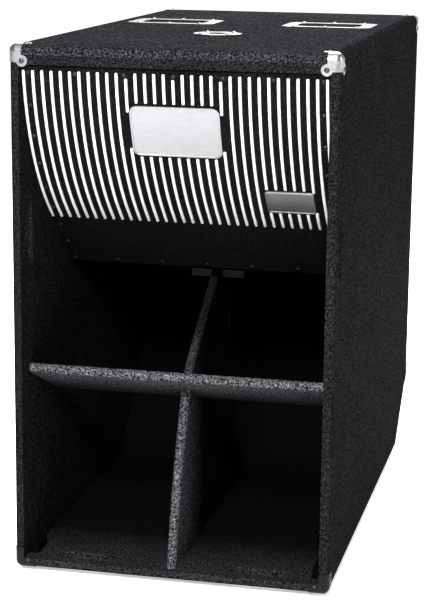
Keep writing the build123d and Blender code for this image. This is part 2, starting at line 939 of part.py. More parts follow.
def driver_surround():
    """Half-roll surround with its glued rims."""
    middle = (roll_middle, 0, flange_face + skin)
    tops = [
        ThreePointArc(
            (middle[0] - radius, 0, flange_face + skin),
            (middle[0], 0, flange_face + skin + radius),
            (middle[0] + radius, 0, flange_face + skin),
        )
        for radius in (roll_radius - skin, roll_radius)
    ]
    feet = []
    for side in (-1, 1):
        inside = (middle[0] + side * (roll_radius - skin), 0, middle[2])
        outside = (middle[0] + side * roll_radius, 0, middle[2])
        feet.append(Line(inside, outside))
    roll = revolve(make_face([*tops, *feet]), Axis.Z)
    outer = ring(roll_outer + surround_ring - 1, roll_outer - skin, flange_face, flange_face + skin)
    inner = ring(cone_edge + skin, cone_edge - cone_lip, flange_face, flange_face + skin)
    return one_solid(roll + outer + inner)


def driver_cone():
    """Straight-sided cone with a flat outer cone_lip."""
    edge = cone_edge - cone_lip
    top = flange_face
    slope = hypot(edge - coil_radius, cone_depth) / cone_depth * cone_skin
    points = [
        (cone_edge, top),
        (edge, top),
        (coil_radius, cone_neck),
        (coil_radius, cone_neck - slope),
        (edge, top - slope),
        (cone_edge, top - cone_skin),
    ]
    return turned(points)


def dust_cap():
    """Domed cap over the middle of the cone."""
    share = (dome_radius - coil_radius) / (cone_edge - cone_lip - coil_radius)
    seat = cone_neck + share * (flange_face - cone_neck)
    ball = (dome_radius**2 + dome_height**2) / (2 * dome_height)
    middle = Pos(0, 0, seat + dome_height - ball)
    dome = middle * Sphere(ball) - middle * Sphere(ball - 2 * skin)
    limit = Pos(0, 0, seat) * Cylinder(dome_radius, 2 * dome_height, align=upwards)
    cap = (dome & limit) - driver_cone()
    return cap.solids().sort_by(SortBy.VOLUME)[-1]


def voice_coil():
    """Coil former with its winding, glued to the cone's neck."""
    former = ring(coil_radius, coil_radius - former_skin, former_low, cone_neck)
    winding = ring(coil_radius + coil_wire, coil_radius, former_low + 1, former_low + coil_height)
    return one_solid(former + winding)


def driver_spider():
    """Corrugated suspension ring, drawn as a shallow stepped web."""
    high = spider_level + skin
    inner = coil_radius + 0.1
    reach = (spider_radius - inner) / spider_steps
    web = ring(spider_radius + spider_ring - 4, spider_radius - 2, spider_level, high)
    points = [(inner, spider_level)]
    for i in range(1, 2 * spider_steps):
        points.append((inner + reach * i / 2, spider_level + (i % 2) * spider_wave))
    points.append((spider_radius, spider_level))
    upper = [(r, z + skin) for r, z in reversed(points)]
    return one_solid(web + turned(points + upper))


def top_plate():
    """Steel ring round the voice coil."""
    inner = coil_radius + coil_wire + magnetic_gap
    return ring(plate_radius, inner, hub_face - plate_thickness, hub_face)


def magnet():
    """Ceramic ring magnet."""
    high = hub_face - plate_thickness
    return ring(magnet_radius, magnet_hole, high - magnet_height, high)


def back_plate():
    """Steel back plate with its vented pole."""
    low = -driver_back
    pole = coil_radius - former_skin - magnetic_gap
    solid = ring(plate_radius, pole_vent, low, low + back_thickness)
    return one_solid(solid + ring(pole, pole_vent, low, hub_face))


def terminal_post(side):
    """Outer end of a terminal post, on the driver's own plane."""
    reach = spider_radius + spider_ring + leg_depth + terminal_post_length
    level = hub_face + seat_height + terminal_block_size[1] / 2
    return (side * terminal_post_spacing / 2, reach, level)


def terminal_block():
    """Terminal block standing in one of the frame's windows, with two posts."""
    width, height = terminal_block_size
    middle = spider_radius + spider_ring + leg_depth / 2
    body = Pos(0, middle, hub_face + seat_height + height / 2) * Box(width, leg_depth, height)
    post = Rot(90, 0, 0) * Cylinder(terminal_post_radius, terminal_post_length, align=upwards)
    return one_solid(body + [Pos(*terminal_post(side)) * post for side in (-1, 1)])


def driver_bolts():
    """Bolts through the driver's flange into the baffle."""
    head = Pos(0, 0, flange_back) * Cylinder(driver_bolt_head, driver_bolt_head_height, align=downwards)
    reach = driver_gasket + flange_thickness + wall - 2
    stem = Pos(0, 0, flange_back) * Cylinder(driver_bolt, reach, align=upwards)
    return gather([spot * (head + stem) for spot in driver_bolt_spots()])


# ---- top hardware -----------------------------------------------------------------
def handle_screw_spots(spot):
    """Six screw places round a handle's flange."""
    columns = [i * handle_screw_pitch for i in (-1, 0, 1)]
    rows = [side * handle_screw_across / 2 for side in (-1, 1)]
    return [(spot[0] + x, spot[1] + y, spot[2]) for x in columns for y in rows]


def handle_cup():
    """Pressed dish handle: flange and recess, centred on its mouth at height 0."""
    flange = extrude(RectangleRounded(*handle_flange, handle_corner), amount=handle_metal)
    flange = fillet(flange.edges().group_by(Axis.Z)[-1], handle_metal * lip_round)
    outer = [size + 2 * handle_metal for size in handle_mouth]
    tub = extrude(RectangleRounded(*outer, handle_mouth_corner + handle_metal), amount=-handle_depth)
    tub = fillet(tub.faces().sort_by(Axis.Z)[0].edges(), handle_corner / 2)
    inside = extrude(
        Pos(0, 0, handle_metal) * RectangleRounded(*handle_mouth, handle_mouth_corner), amount=-handle_depth
    )
    inside = fillet(inside.faces().sort_by(Axis.Z)[0].edges(), handle_corner / 2 - handle_metal)
    cup = flange + tub - inside
    for x, y, z in handle_screw_spots((0, 0, 0)):
        cup -= Pos(x, y, z) * Cylinder(screw_shank, 4 * handle_metal)
    return cup


def handle_bar_piece():
    """Round grip bar across a handle's mouth."""
    bar = Rot(0, 90, 0) * Cylinder(handle_bar, handle_mouth[0])
    return Pos(0, 0, -handle_bar_below) * bar


def top_screws():
    """Screws of both handles and of the pole socket."""
    piece = Pos(0, 0, handle_metal) * screw(length=screw_length)
    spots = [Pos(*spot) for handle in handle_spots() for spot in handle_screw_spots(handle)]
    pole = Pos(0, 0, pole_metal) * screw(length=screw_length)
    return gather([spot * piece for spot in spots] + [spot * pole for spot in pole_screw_spots()])


def pole_spot():
    """Centre of the pole socket on the cabinet's top."""
    return place(0, pole_from_front, body_height)


def pole_bore():
    """Bore radius for the pole with its clearance."""
    return pole_diameter / 2 + pole_fit


def pole_tube_radius():
    """Outer radius of the socket's tube."""
    return pole_bore() + pole_metal


def pole_screw_spots():
    """Four screw places on the pole socket's flange."""
    turns = [Rot(0, 0, 45 + 90 * i) for i in range(4)]
    return [Pos(*pole_spot()) * turn * Pos(pole_screw_circle, 0, 0) for turn in turns]


def pole_socket():
    """Flanged blind socket for a loudspeaker pole."""
    flange = Cylinder(pole_flange, pole_metal, align=upwards)
    flange = fillet(flange.edges().group_by(Axis.Z)[-1], pole_metal * lip_round)
    deep = pole_depth + pole_metal
    tube = Cylinder(pole_tube_radius(), deep, align=downwards)
    bore = Pos(0, 0, pole_metal) * Cylinder(
        pole_bore(), pole_depth + pole_metal, align=downwards
    )
    socket = Pos(*pole_spot()) * (flange + tube - bore)
    for spot in pole_screw_spots():
        socket -= spot * Cylinder(screw_shank, 4 * pole_metal)
    return socket


# ---- corner caps ------------------------------------------------------------------
def cap_shell():
    """Thin metal skin over the whole rounded cabinet."""
    return envelope(cap_metal) - envelope()


def cap_region(front, up):
    """The space that the right-hand corner cap at one side-view corner covers."""
    x_reach, y_reach, z_reach = cap_reach
    low = (half_width - x_reach, front - y_reach, up - z_reach)
    high = (half_width + 2 * cap_metal, front + y_reach, up + z_reach)
    lobe = Cylinder(cap_lobe, 4 * cap_metal)
    return block(low, high) + [spot * lobe for spot in cap_screws_at(front, up)]


def low_cap_region():
    """The space of the lower front cap, which follows the two boards' front edges."""
    outer = half_width + 2 * cap_metal
    upright = block((half_width - wall, -cap_reach[1], -wall), (outer, cap_reach[1], low_cap_reach))
    across = block((half_width - low_cap_reach, -cap_reach[1], -wall), (outer, cap_reach[1], wall))
    return upright + across


def cap_set(regions):
    """Corner caps in the given spaces, on both sides, with screw holes."""
    shell = cap_shell()
    caps = gather([both_sides(shell & region) for region in regions])
    return gather([drilled(solid, cap_screw_places()) for solid in caps.solids()])


def drilled(solid, places):
    """A solid with a screw hole at each place."""
    hole = Pos(0, 0, cap_metal) * screw_hole()
    return cut_by(solid, [spot * hole for spot in places])


def cap_screws_at(front, up):
    """Screw places on the three faces of the right-hand cap at one side-view corner."""
    inset_x, inset = cap_screw_inset
    inner = 1 if front < body_depth / 2 else -1
    rise = -1 if up > body_height / 2 else 1
    over = half_width - inset_x
    spots = [
        Plane(origin=place(over, front, up + rise * inset), z_dir=(0, -inner, 0)),
        Plane(origin=place(half_width, front + inner * inset, up + rise * inset), z_dir=(1, 0, 0)),
    ]
    if rise < 0:
        spots.append(Plane(origin=place(over, front + inner * inset, up), z_dir=(0, 0, 1)))
    return [spot.location for spot in spots]


def low_edge_screw():
    """Small screw place on the lower front cap, in the bottom board's front edge."""
    over = half_width - low_cap_screw_inset[0]
    return Plane(origin=place(over, 0, low_cap_screw_inset[1]), z_dir=(0, -1, 0)).location


def cap_screw_spots():
    """Screw places of the corner caps with full-size screws."""
    beside = place(half_width, low_cap_screw_behind, cap_screw_inset[1])
    right = [Plane(origin=beside, z_dir=(1, 0, 0)).location]
    for corner in (*top_corners, low_rear_corner):
        right += cap_screws_at(*corner)
    return with_mirror(right)


def cap_screw_places():
    """Screw places of all the corner caps."""
    return cap_screw_spots() + with_mirror([low_edge_screw()])


def with_mirror(spots):
    """Screw places and their mirror images on the cabinet's left side."""
    left = []
    for spot in spots:
        plane = Plane(spot)
        origin = (-plane.origin.X, plane.origin.Y, plane.origin.Z)
        left.append(Plane(origin=origin, z_dir=(-plane.z_dir.X, plane.z_dir.Y, plane.z_dir.Z)).location)
    return spots + left


def cap_screws():
    """Screws of the corner caps."""
    piece = Pos(0, 0, cap_metal) * screw()
    small = Pos(0, 0, cap_metal) * screw(head=low_cap_head, dome=cap_metal)
    edge = with_mirror([low_edge_screw()])
    return gather([spot * piece for spot in cap_screw_spots()] + [spot * small for spot in edge])


# ---- rear input plate -------------------------------------------------------------
def input_screw_spots():
    """Four screw places on the input plate."""
    x_reach = input_size[0] / 2 - input_corner
    y_reach = input_size[1] / 2 - input_corner
    base = rear_plane().location
    return [base * Pos(x * x_reach, y * y_reach, 0) for x in (-1, 1) for y in (-1, 1)]


def input_plate():
    """Recessed connector dish on the rear board."""
    flange = extrude(RectangleRounded(*input_size, input_corner), amount=cap_metal)
    outer = [size + 2 * input_metal for size in input_mouth]
    tub = extrude(RectangleRounded(*outer, input_corner), amount=-input_depth)
    mouth = Pos(0, 0, cap_metal) * RectangleRounded(*input_mouth, input_corner - input_metal)
    inside = extrude(mouth, amount=-input_depth)
    dish = flange + tub - inside
    for side in (-1, 1):
        dish -= Pos(side * socket_spacing / 2, 0, -input_depth) * Cylinder(socket_radius, 4 * input_metal)
    plate = rear_plane().location * dish
    for spot in input_screw_spots():
        plate -= spot * Cylinder(screw_shank, 4 * input_metal)
    return plate


def input_sockets():
    """Two round locking connector sockets in the dish."""
    body = Pos(0, 0, -input_depth) * Cylinder(socket_radius, socket_length)
    seat = Pos(0, 0, -input_depth + cap_metal)
    collar = seat * Cylinder(socket_radius + socket_collar, socket_collar_height, align=upwards)
    well = ring(socket_radius - socket_wall, socket_core, -input_depth - socket_core, socket_length)
    socket = body + collar - well
    base = rear_plane().location
    return gather([base * Pos(side * socket_spacing / 2, 0, 0) * socket for side in (-1, 1)])


def input_screws():
    """Screws of the input plate."""
    piece = Pos(0, 0, cap_metal) * screw(head=screw_head - 1, dome=cap_metal, length=screw_length)
    return gather([spot * piece for spot in input_screw_spots()])


# ---- feet and wheels --------------------------------------------------------------
def foot_spots():
    """Centres of the four feet on the cabinet's underside."""
    across = half_width - foot_inset[0]
    return [place(side * across, behind, 0) for side in (-1, 1) for behind in (foot_inset[1], foot_rear)]


def feet():
    """Round rubber feet with a recess for their screws."""
    foot = Cone(foot_radius - foot_taper, foot_radius, foot_height, align=downwards)
    well = Pos(0, 0, -foot_height) * Cylinder(screw_head + 1, foot_height / 2, align=upwards)
    foot = foot - well - Cylinder(foot_screw, 2 * foot_height)
    return gather([Pos(*spot) * foot for spot in foot_spots()])


def foot_screws():
    """Screws up through the feet."""
    head = Pos(0, 0, -foot_height / 2) * Cylinder(screw_head, foot_screw_head, align=downwards)
    stem = Pos(0, 0, -foot_height / 2) * Cylinder(
        foot_screw, foot_height / 2 + screw_length, align=upwards
    )
    return gather([Pos(*spot) * (head + stem) for spot in foot_spots()])


def wheel_plane(side):
    """Plane on the chamfer under a wheel's centre, facing out."""
    centre = place(side * wheel_spacing / 2, body_depth - wheel_rear_gap - wheel_radius, wheel_lift)
    base = chamfer_plane()
    local = base.to_local_coords(Vector(*centre))
    spot = base.from_local_coords(Vector(local.X, local.Y, 0))
    return Plane(origin=spot, x_dir=(1, 0, 0), z_dir=base.z_dir)


def wheel_stand_off():
    """Distance from the chamfer's face to the wheels' axis."""
    centre = place(0, body_depth - wheel_rear_gap - wheel_radius, wheel_lift)
    return chamfer_plane().to_local_coords(Vector(*centre)).Z


def wheel_plate_screws():
    """Four screw places on each wheel bracket's plate."""
    return [wheel_plane(side).location * corner for side in (-1, 1) for corner in plate_corners()]


def plate_corners():
    """The screw places on a wheel bracket's own plate."""
    x_reach, y_reach = [size / 2 - wheel_screw_inset for size in wheel_plate]
    return [Pos(x * x_reach, y * y_reach, 0) for x in (-1, 1) for y in (-1, 1)]


def wheel_bracket():
    """Steel fork for one wheel, on its own plane."""
    plate = extrude(RectangleRounded(*wheel_plate, ear_metal), amount=ear_metal)
    reach = wheel_stand_off()
    ear_offset = wheel_width / 2 + ear_gap + ear_metal / 2
    outline = Pos(0, reach / 2) * Rectangle(2 * ear_half, reach) + Pos(0, reach) * Circle(ear_half)
    outline -= Pos(0, reach) * Circle(axle_radius)
    ear = extrude(Plane.YZ * outline, amount=ear_metal / 2, both=True)
    bracket = plate
    for side in (-1, 1):
        bracket += Pos(side * ear_offset, 0, 0) * ear
    return cut_by(bracket, [spot * Cylinder(screw_shank, 4 * ear_metal) for spot in plate_corners()])


def wheel_brackets():
    """Both wheel forks."""
    return gather([wheel_plane(side).location * wheel_bracket() for side in (-1, 1)])


def wheel_screws():
    """Screws of both wheel forks."""
    piece = Pos(0, 0, ear_metal) * screw(length=screw_length)
    return gather([spot * piece for spot in wheel_plate_screws()])


def wheel_centre(side):
    """Location of a wheel's centre with its axis along X."""
    return wheel_plane(side).location * Pos(0, 0, wheel_stand_off()) * Rot(0, 90, 0)


def wheel_axle(side):
    """Axle bolt with a head and a nut outside the fork."""
    half = wheel_width / 2 + ear_gap + ear_metal
    pin = Cylinder(axle_radius, 2 * half + axle_head_height)
    head = Pos(0, 0, half) * Cylinder(axle_head, axle_head_height, align=upwards)
    nut = Pos(0, 0, -half) * extrude(RegularPolygon(axle_head, 6), amount=-axle_nut_height)
    return wheel_centre(side) * (pin + head + nut)


def wheel(side):
    """Solid hub of one wheel with its bore and rims."""
    core = wheel_radius - tyre_depth
    half = wheel_width / 2
    bore = axle_radius + running_fit
    lower = [
        (bore, -half),
        (wheel_hub, -half),
        (wheel_hub, -half / 2),
        (core - rim_width, -half / 2),
        (core - rim_width, rim_step - half),
        (core, rim_step - half),
    ]
    upper = [(radius, -level) for radius, level in reversed(lower)]
    return wheel_centre(side) * turned(lower + upper)


def wheel_tyre(side):
    """Rubber tyre of one wheel."""
    half = (wheel_width - rim_step) / 2
    tyre = ring(wheel_radius, wheel_radius - tyre_depth, -half, half)
    outer = tyre.edges().filter_by(GeomType.CIRCLE).sort_by(SortBy.RADIUS)[-2:]
    return wheel_centre(side) * fillet(outer, tyre_round)


# ---- speaker cable ----------------------------------------------------------------
def cable_height():
    """Height of the cable's run through the boards."""
    return ceiling - cable_below_top


def cable_hole():
    """Hole for the cable through the throat board and the baffle."""
    front = baffle_top - 3 * wall
    back = throat_top + 3 * wall
    middle = place(cable_side, (front + back) / 2, cable_height())
    return Pos(*middle) * Rot(90, 0, 0) * Cylinder(cable_radius + cable_fit, back - front)


def cable():
    """Speaker cable from an input socket to the driver's terminal block."""
    inside = driver_plane()
    post_x, post_y, post_z = terminal_post(1)
    socket_back = body_depth - input_depth - socket_length / 2
    socket_up = body_height - input_below_top
    bend = 8 * cable_radius
    beside = inside.from_local_coords(Vector(cable_side, 0, hub_face / 2))
    under = inside.from_local_coords(Vector(cable_side / 2, post_y + 2 * bend, post_z))
    below = inside.from_local_coords(Vector(post_x, post_y + 2 * bend, post_z))
    post = inside.from_local_coords(Vector(post_x, post_y, post_z))
    route = [
        place(socket_spacing / 2, socket_back, socket_up),
        place(socket_spacing / 2, socket_back - bend, socket_up),
        place(cable_side, socket_back - bend, socket_up + 2 * bend),
        place(cable_side, throat_top + 4 * wall, cable_height()),
        place(cable_side, baffle_top - 3 * wall, cable_height()),
        tuple(beside),
        tuple(under),
        tuple(below),
        tuple(post),
    ]
    path = FilletPolyline(*route, radius=0.7 * bend)
    section = Plane(origin=route[0], z_dir=(0, -1, 0)) * Circle(cable_radius)
    return sweep(section, path=path)


def write(name, shape):
    """Export one sub-part."""
    export_step(shape, "parts/" + name + ".step")


def build():
    """Every sub-part of the cabinet, by name."""
    os.makedirs("parts", exist_ok=True)
    right = side_panel()
    seat = driver_plane().location
    parts = {
        "side_panel_right": right,
        "side_panel_left": mirror(right, about=Plane.YZ),
        "top_panel": top_panel(),
        "bottom_panel": bottom_board(),
        "rear_panel": rear_board(),
        "rear_chamfer_panel": chamfer_board(),
        "header_rail": header_rail(),
        "front_cover": front_cover(),
        "cover_screws": cover_screws(),
        "cover_gasket": cover_gasket_strips(),
        "cover_battens": cover_battens(),
        "cover_ribs": rib_group(),
        "badge_plate": badge_plate(),
        "tag_plate": tag_plate(),
        "mouth_vane": vane(),
        "mouth_divider": divider(),
        "corner_cleats": corner_cleats(),
        "divider_brackets": divider_brackets(),
        "driver_baffle": baffle(),
        "chamber_floor": chamber_floor(),
        "foot_battens": foot_battens(),
        "throat_brace": brace(),
        "rear_ramp": ramp(),
        "throat_board": throat_board(),
        "chamber_lining": chamber_lining(),
        "driver_frame": seat * driver_frame(),
        "driver_gasket": seat * driver_seal(),
        "driver_surround": seat * driver_surround(),
        "driver_cone": seat * driver_cone(),
        "driver_dust_cap": seat * dust_cap(),
        "driver_voice_coil": seat * voice_coil(),
        "driver_spider": seat * driver_spider(),
        "driver_top_plate": seat * top_plate(),
        "driver_magnet": seat * magnet(),
        "driver_back_plate": seat * back_plate(),
        "driver_terminals": seat * terminal_block(),
        "driver_bolts": seat * driver_bolts(),
        "corner_caps_top": cap_set([cap_region(*corner) for corner in top_corners]),
        "corner_caps_bottom": cap_set([low_cap_region(), cap_region(*low_rear_corner)]),
        "corner_cap_screws": cap_screws(),
        "handle_cup_left": Pos(*handle_spots()[0]) * handle_cup(),
        "handle_cup_right": Pos(*handle_spots()[1]) * handle_cup(),
        "handle_grips": gather([Pos(*spot) * handle_bar_piece() for spot in handle_spots()]),
        "top_screws": top_screws(),
        "pole_socket": pole_socket(),
        "input_plate": input_plate(),
        "input_sockets": input_sockets(),
        "input_screws": input_screws(),
        "rubber_feet": feet(),
        "foot_screws": foot_screws(),
        "wheel_brackets": wheel_brackets(),
        "wheel_screws": wheel_screws(),
        "wheel_axles": gather([wheel_axle(side) for side in (-1, 1)]),
        "wheel_hub_left": wheel(-1),
        "wheel_hub_right": wheel(1),
        "wheel_tyre_left": wheel_tyre(-1),
        "wheel_tyre_right": wheel_tyre(1),
        "speaker_cable": cable(),
    }
    for name, shape in parts.items():
        write(name, shape)


build()
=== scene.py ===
from math import cos, pi, radians, sin

import bmesh
import bpy
from mathutils import Matrix, Vector


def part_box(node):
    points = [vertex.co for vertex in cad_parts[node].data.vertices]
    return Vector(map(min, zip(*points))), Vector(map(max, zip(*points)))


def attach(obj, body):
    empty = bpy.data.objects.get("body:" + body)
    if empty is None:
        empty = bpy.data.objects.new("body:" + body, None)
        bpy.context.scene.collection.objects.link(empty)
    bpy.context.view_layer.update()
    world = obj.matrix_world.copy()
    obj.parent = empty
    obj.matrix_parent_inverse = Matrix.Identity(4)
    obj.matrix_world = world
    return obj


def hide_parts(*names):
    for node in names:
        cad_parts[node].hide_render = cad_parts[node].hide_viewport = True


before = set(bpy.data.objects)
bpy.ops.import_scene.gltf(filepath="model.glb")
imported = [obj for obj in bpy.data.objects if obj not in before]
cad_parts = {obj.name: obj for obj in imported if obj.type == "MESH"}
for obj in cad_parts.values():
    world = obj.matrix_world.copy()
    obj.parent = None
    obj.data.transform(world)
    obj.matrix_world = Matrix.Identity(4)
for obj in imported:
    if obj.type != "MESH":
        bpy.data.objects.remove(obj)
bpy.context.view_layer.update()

bl_info = {
    "name": "Folded-horn subwoofer cabinet",
    "version": (1, 0, 0),
    "blender": (4, 5, 0),
    "location": "3D View > Sidebar > Cabinet",
    "description": "Finishes, ribs, plates and pressed hardware of a folded-horn subwoofer cabinet",
    "category": "Object",
}

SHELL_LOW, SHELL_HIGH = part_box("side_panel_left")[0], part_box("side_panel_right")[1]
INSIDE_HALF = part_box("mouth_vane")[1].x
SIDE_GAP = 0.001  # between the cover and a side panel
EDGE_RIB = 0.0024  # inner half width of the outermost ribs
SCREW_HEAD = 0.0046  # radius of a cover screw's head
SHORTEST_RIB = 0.006  # shorter stretches of rib are left out
PLATE_RIM = 0.0032  # width of a blank plate's raised rim
PLATE_STEP = (0.0006, 0.0008)  # width and depth of the step down to the plate's field
PLATE_BRIM = 0.0009  # rounding of the plate's outer edge
SPOKE_SPAN = (0.42, 0.85)  # a spoke's two ends, as shares of the rim's radius
SPOKE_FACE = 0.82  # a spoke's outer face, as a share of the hub's half width
CONTACT_HALF = (0.0021, 0.0006)  # half width and half thickness of a connector blade
CONTACT_DEPTHS = (0.016, 0.003)  # a blade's two ends below the connector's mouth
LATCH_HALF, LATCH_LENGTH, LATCH_SEAT = 0.004, 0.0078, 0.0006
GRIP_SPOTS = (-0.006, -0.004, -0.002)  # ridges along a latch, from the connector's mouth
GRIP_HALF, GRIP_LENGTH, GRIP_RISE = 0.0034, 0.001, 0.0008


# ---- settings ---------------------------------------------------------------------
class DetailSettings(bpy.types.PropertyGroup):
    """Wheel spokes and connector contacts."""

    spokes: bpy.props.IntProperty(
        name="Spokes", description="Spokes on each face of a wheel", default=6, min=3
    )
    spoke_width: bpy.props.FloatProperty(
        name="Spoke width", description="Width of one spoke", default=0.0042, unit="LENGTH"
    )
    web: bpy.props.FloatProperty(
        name="Web", description="Half thickness of the wheel's web", default=0.007, unit="LENGTH"
    )
    contacts: bpy.props.IntProperty(
        name="Contacts", description="Contacts in one connector", default=4, min=2
    )
    well: bpy.props.FloatProperty(
        name="Well radius",
        description="Radius of the ring of contacts in a connector",
        default=0.0082,
        unit="LENGTH",
    )
    connector_radius: bpy.props.FloatProperty(
        name="Connector radius", description="Outer radius of a connector", default=0.013, unit="LENGTH"
    )


class PaintSettings(bpy.types.PropertyGroup):
    """The textured paint of the boards."""

    colour: bpy.props.FloatVectorProperty(
        name="Paint",
        description="Colour of the paint between its grains",
        subtype="COLOR",
        default=(0.0018, 0.0018, 0.0021),
    )
    speck: bpy.props.FloatVectorProperty(
        name="Grain tips",
        description="Colour of the grains' tips",
        subtype="COLOR",
        default=(0.07, 0.07, 0.076),
    )
    grain: bpy.props.FloatProperty(
        name="Grain size",
        description="Width of one grain of the paint",
        default=0.0024,
        min=0.0003,
        unit="LENGTH",
    )
    relief: bpy.props.FloatProperty(
        name="Grain height", description="Height of the grains", default=0.0009, min=0.0, unit="LENGTH"
    )
    shine: bpy.props.FloatProperty(
        name="Roughness",
        description="Roughness of the grains' tips",
        default=0.32,
        min=0.05,
        max=1.0,
        subtype="FACTOR",
    )
    glint: bpy.props.FloatProperty(
        name="Glint",
        description="How mirror-like the grains' tips are",
        default=0.8,
        min=0.0,
        max=1.0,
        subtype="FACTOR",
    )
    edge_tint: bpy.props.FloatProperty(
        name="Grazing glint",
        description="Glint left when seen along the surface",
        default=0.3,
        min=0.0,
        max=1.0,
        subtype="FACTOR",
    )


class CoverSettings(bpy.types.PropertyGroup):
    """The curved front cover with its ribs and blank plates."""

    below_top: bpy.props.FloatProperty(
        name="Below the top",
        description="Drop from the cabinet's top to the cover's upper edge",
        default=0.038,
        unit="LENGTH",
    )
    setback: bpy.props.FloatProperty(
        name="Setback",
        description="Distance of the upper edge behind the front",
        default=0.008,
        unit="LENGTH",
    )
    radius: bpy.props.FloatProperty(
        name="Radius", description="Radius of the curve", default=0.445, unit="LENGTH"
    )
    start: bpy.props.FloatProperty(
        name="Start angle",
        description="Lean of the cover's upper edge",
        default=radians(6.4),
        unit="ROTATION",
    )
    turn: bpy.props.FloatProperty(
        name="Turn",
        description="Angle that the curve turns through",
        default=radians(42.4),
        unit="ROTATION",
    )
    straight: bpy.props.FloatProperty(
        name="Straight",
        description="Length of the flat part below the curve",
        default=0.2,
        unit="LENGTH",
    )
    rib_pitch: bpy.props.FloatProperty(
        name="Rib pitch", description="Rib spacing", default=0.0175, unit="LENGTH"
    )
    rib_width: bpy.props.FloatProperty(
        name="Rib width", description="Width of a rib", default=0.0056, unit="LENGTH"
    )
    rib_rise: bpy.props.FloatProperty(
        name="Rib height", description="Height of a rib", default=0.003, unit="LENGTH"
    )
    rib_top: bpy.props.FloatProperty(
        name="Rib start",
        description="Distance of the ribs' tops down the cover",
        default=0.008,
        unit="LENGTH",
    )
    rib_end: bpy.props.FloatProperty(
        name="Bare band", description="Height of the band without ribs", default=0.17, unit="LENGTH"
    )
    rib_colour: bpy.props.FloatVectorProperty(
        name="Ribs", description="Colour of the ribs", subtype="COLOR", default=(0.6, 0.6, 0.59)
    )
    plate_rise: bpy.props.FloatProperty(
        name="Plate thickness",
        description="Thickness of the blank plates",
        default=0.0036,
        unit="LENGTH",
    )
    plate_gap: bpy.props.FloatProperty(
        name="Plate gap",
        description="Gap between a plate and the ribs' ends",
        default=0.004,
        unit="LENGTH",
    )
    badge_down: bpy.props.FloatProperty(
        name="Badge place", description="Badge's middle down the cover", default=0.119, unit="LENGTH"
    )
    badge_height: bpy.props.FloatProperty(
        name="Badge height", description="Height of the badge plate", default=0.102, unit="LENGTH"
    )
    badge_corner: bpy.props.FloatProperty(
        name="Badge corner",
        description="Corner radius of the badge plate",
        default=0.014,
        unit="LENGTH",
    )
    tag_up: bpy.props.FloatProperty(
        name="Tag place", description="Tag's middle above the ribs' ends", default=0.084, unit="LENGTH"
    )
    tag_height: bpy.props.FloatProperty(
        name="Tag height", description="Height of the tag plate", default=0.06, unit="LENGTH"
    )
    tag_corner: bpy.props.FloatProperty(
        name="Tag corner", description="Corner radius of the tag plate", default=0.006, unit="LENGTH"
    )
    screw_inset: bpy.props.FloatProperty(
        name="Screw inset",
        description="Top screws' distance down the cover",
        default=0.013,
        unit="LENGTH",
    )
    screw_pitch: bpy.props.FloatProperty(
        name="Screw pitch", description="Spacing of the top screws", default=0.0915, unit="LENGTH"
    )
    screw_room: bpy.props.FloatProperty(
        name="Screw room",
        description="Radius kept clear of ribs round a screw",
        default=0.0052,
        unit="LENGTH",
    )
    plate_colour: bpy.props.FloatVectorProperty(
        name="Plates",
        description="Colour of the blank plates",
        subtype="COLOR",
        default=(0.34, 0.34, 0.35),
    )


class StageSettings(bpy.types.PropertyGroup):
    """Camera, floor and lamps."""

    stand: bpy.props.FloatVectorProperty(
        name="Camera",
        description="Where the camera stands",
        subtype="XYZ",
        unit="LENGTH",
        default=(0.8, -3.7396, 1.2737),
    )
    yaw: bpy.props.FloatProperty(
        name="Yaw", description="Turn to the left", default=radians(12.827), unit="ROTATION"
    )
    pitch: bpy.props.FloatProperty(
        name="Pitch", description="Tilt down", default=radians(12.428), unit="ROTATION"
    )
    roll: bpy.props.FloatProperty(
        name="Roll", description="Lean of the frame", default=radians(0.613), unit="ROTATION"
    )
    lens: bpy.props.FloatProperty(
        name="Lens", description="Focal length for a 36 mm high sensor", default=109.6
    )
    floor_colour: bpy.props.FloatVectorProperty(
        name="Floor", description="Colour of the floor", subtype="COLOR", default=(0.9, 0.9, 0.9)
    )
    sky: bpy.props.FloatProperty(
        name="Room light", description="Strength of the even light", default=0.2
    )
    key: bpy.props.FloatProperty(
        name="Key lamp", description="Power of the key lamp in watts", default=420.0
    )
    top: bpy.props.FloatProperty(
        name="Top lamp", description="Power of the top lamp in watts", default=420.0
    )
    side: bpy.props.FloatProperty(
        name="Side lamp", description="Power of the side lamp in watts", default=60.0
    )
    sun: bpy.props.FloatProperty(
        name="Wide light", description="Strength of the wide light", default=1.5
    )


SETTING_GROUPS = {
    "cabinet_paint": PaintSettings,
    "cabinet_cover": CoverSettings,
    "cabinet_detail": DetailSettings,
    "cabinet_stage": StageSettings,
}


# ---- material recipes -------------------------------------------------------------
def node(tree, kind, inputs=None, **settings):
    """A shader node with its settings, each input either a value or another node's output."""
    made = tree.nodes.new("ShaderNode" + kind)
    for name, value in settings.items():
        setattr(made, name, value)
    for key, value in (inputs or {}).items():
        if isinstance(value, bpy.types.NodeSocket):
            tree.links.new(value, made.inputs[key])
        else:
            made.inputs[key].default_value = value
    return made


def place_on_piece(tree, stretch=(1, 1, 1), turn=(0, 0, 0)):
    """Coordinates fixed to the piece, stretched and turned for a pattern."""
    where = node(tree, "TexCoord").outputs["Object"]
    inputs = {"Vector": where, "Rotation": turn, "Scale": stretch}
    return node(tree, "Mapping", inputs).outputs["Vector"]


def clouds(tree, where, size, detail=3.0, roughness=0.55):
    """Soft patches of about one size."""
    inputs = {"Vector": where, "Scale": 1 / size, "Detail": detail, "Roughness": roughness}
    return node(tree, "TexNoise", inputs).outputs["Fac"]


def grains(tree, where, size, smooth=0.6):
    """Round grains of about one size, 0 in their middles."""
    inputs = {"Vector": where, "Scale": 1 / size, "Smoothness": smooth}
    return node(tree, "TexVoronoi", inputs, feature="SMOOTH_F1").outputs["Distance"]


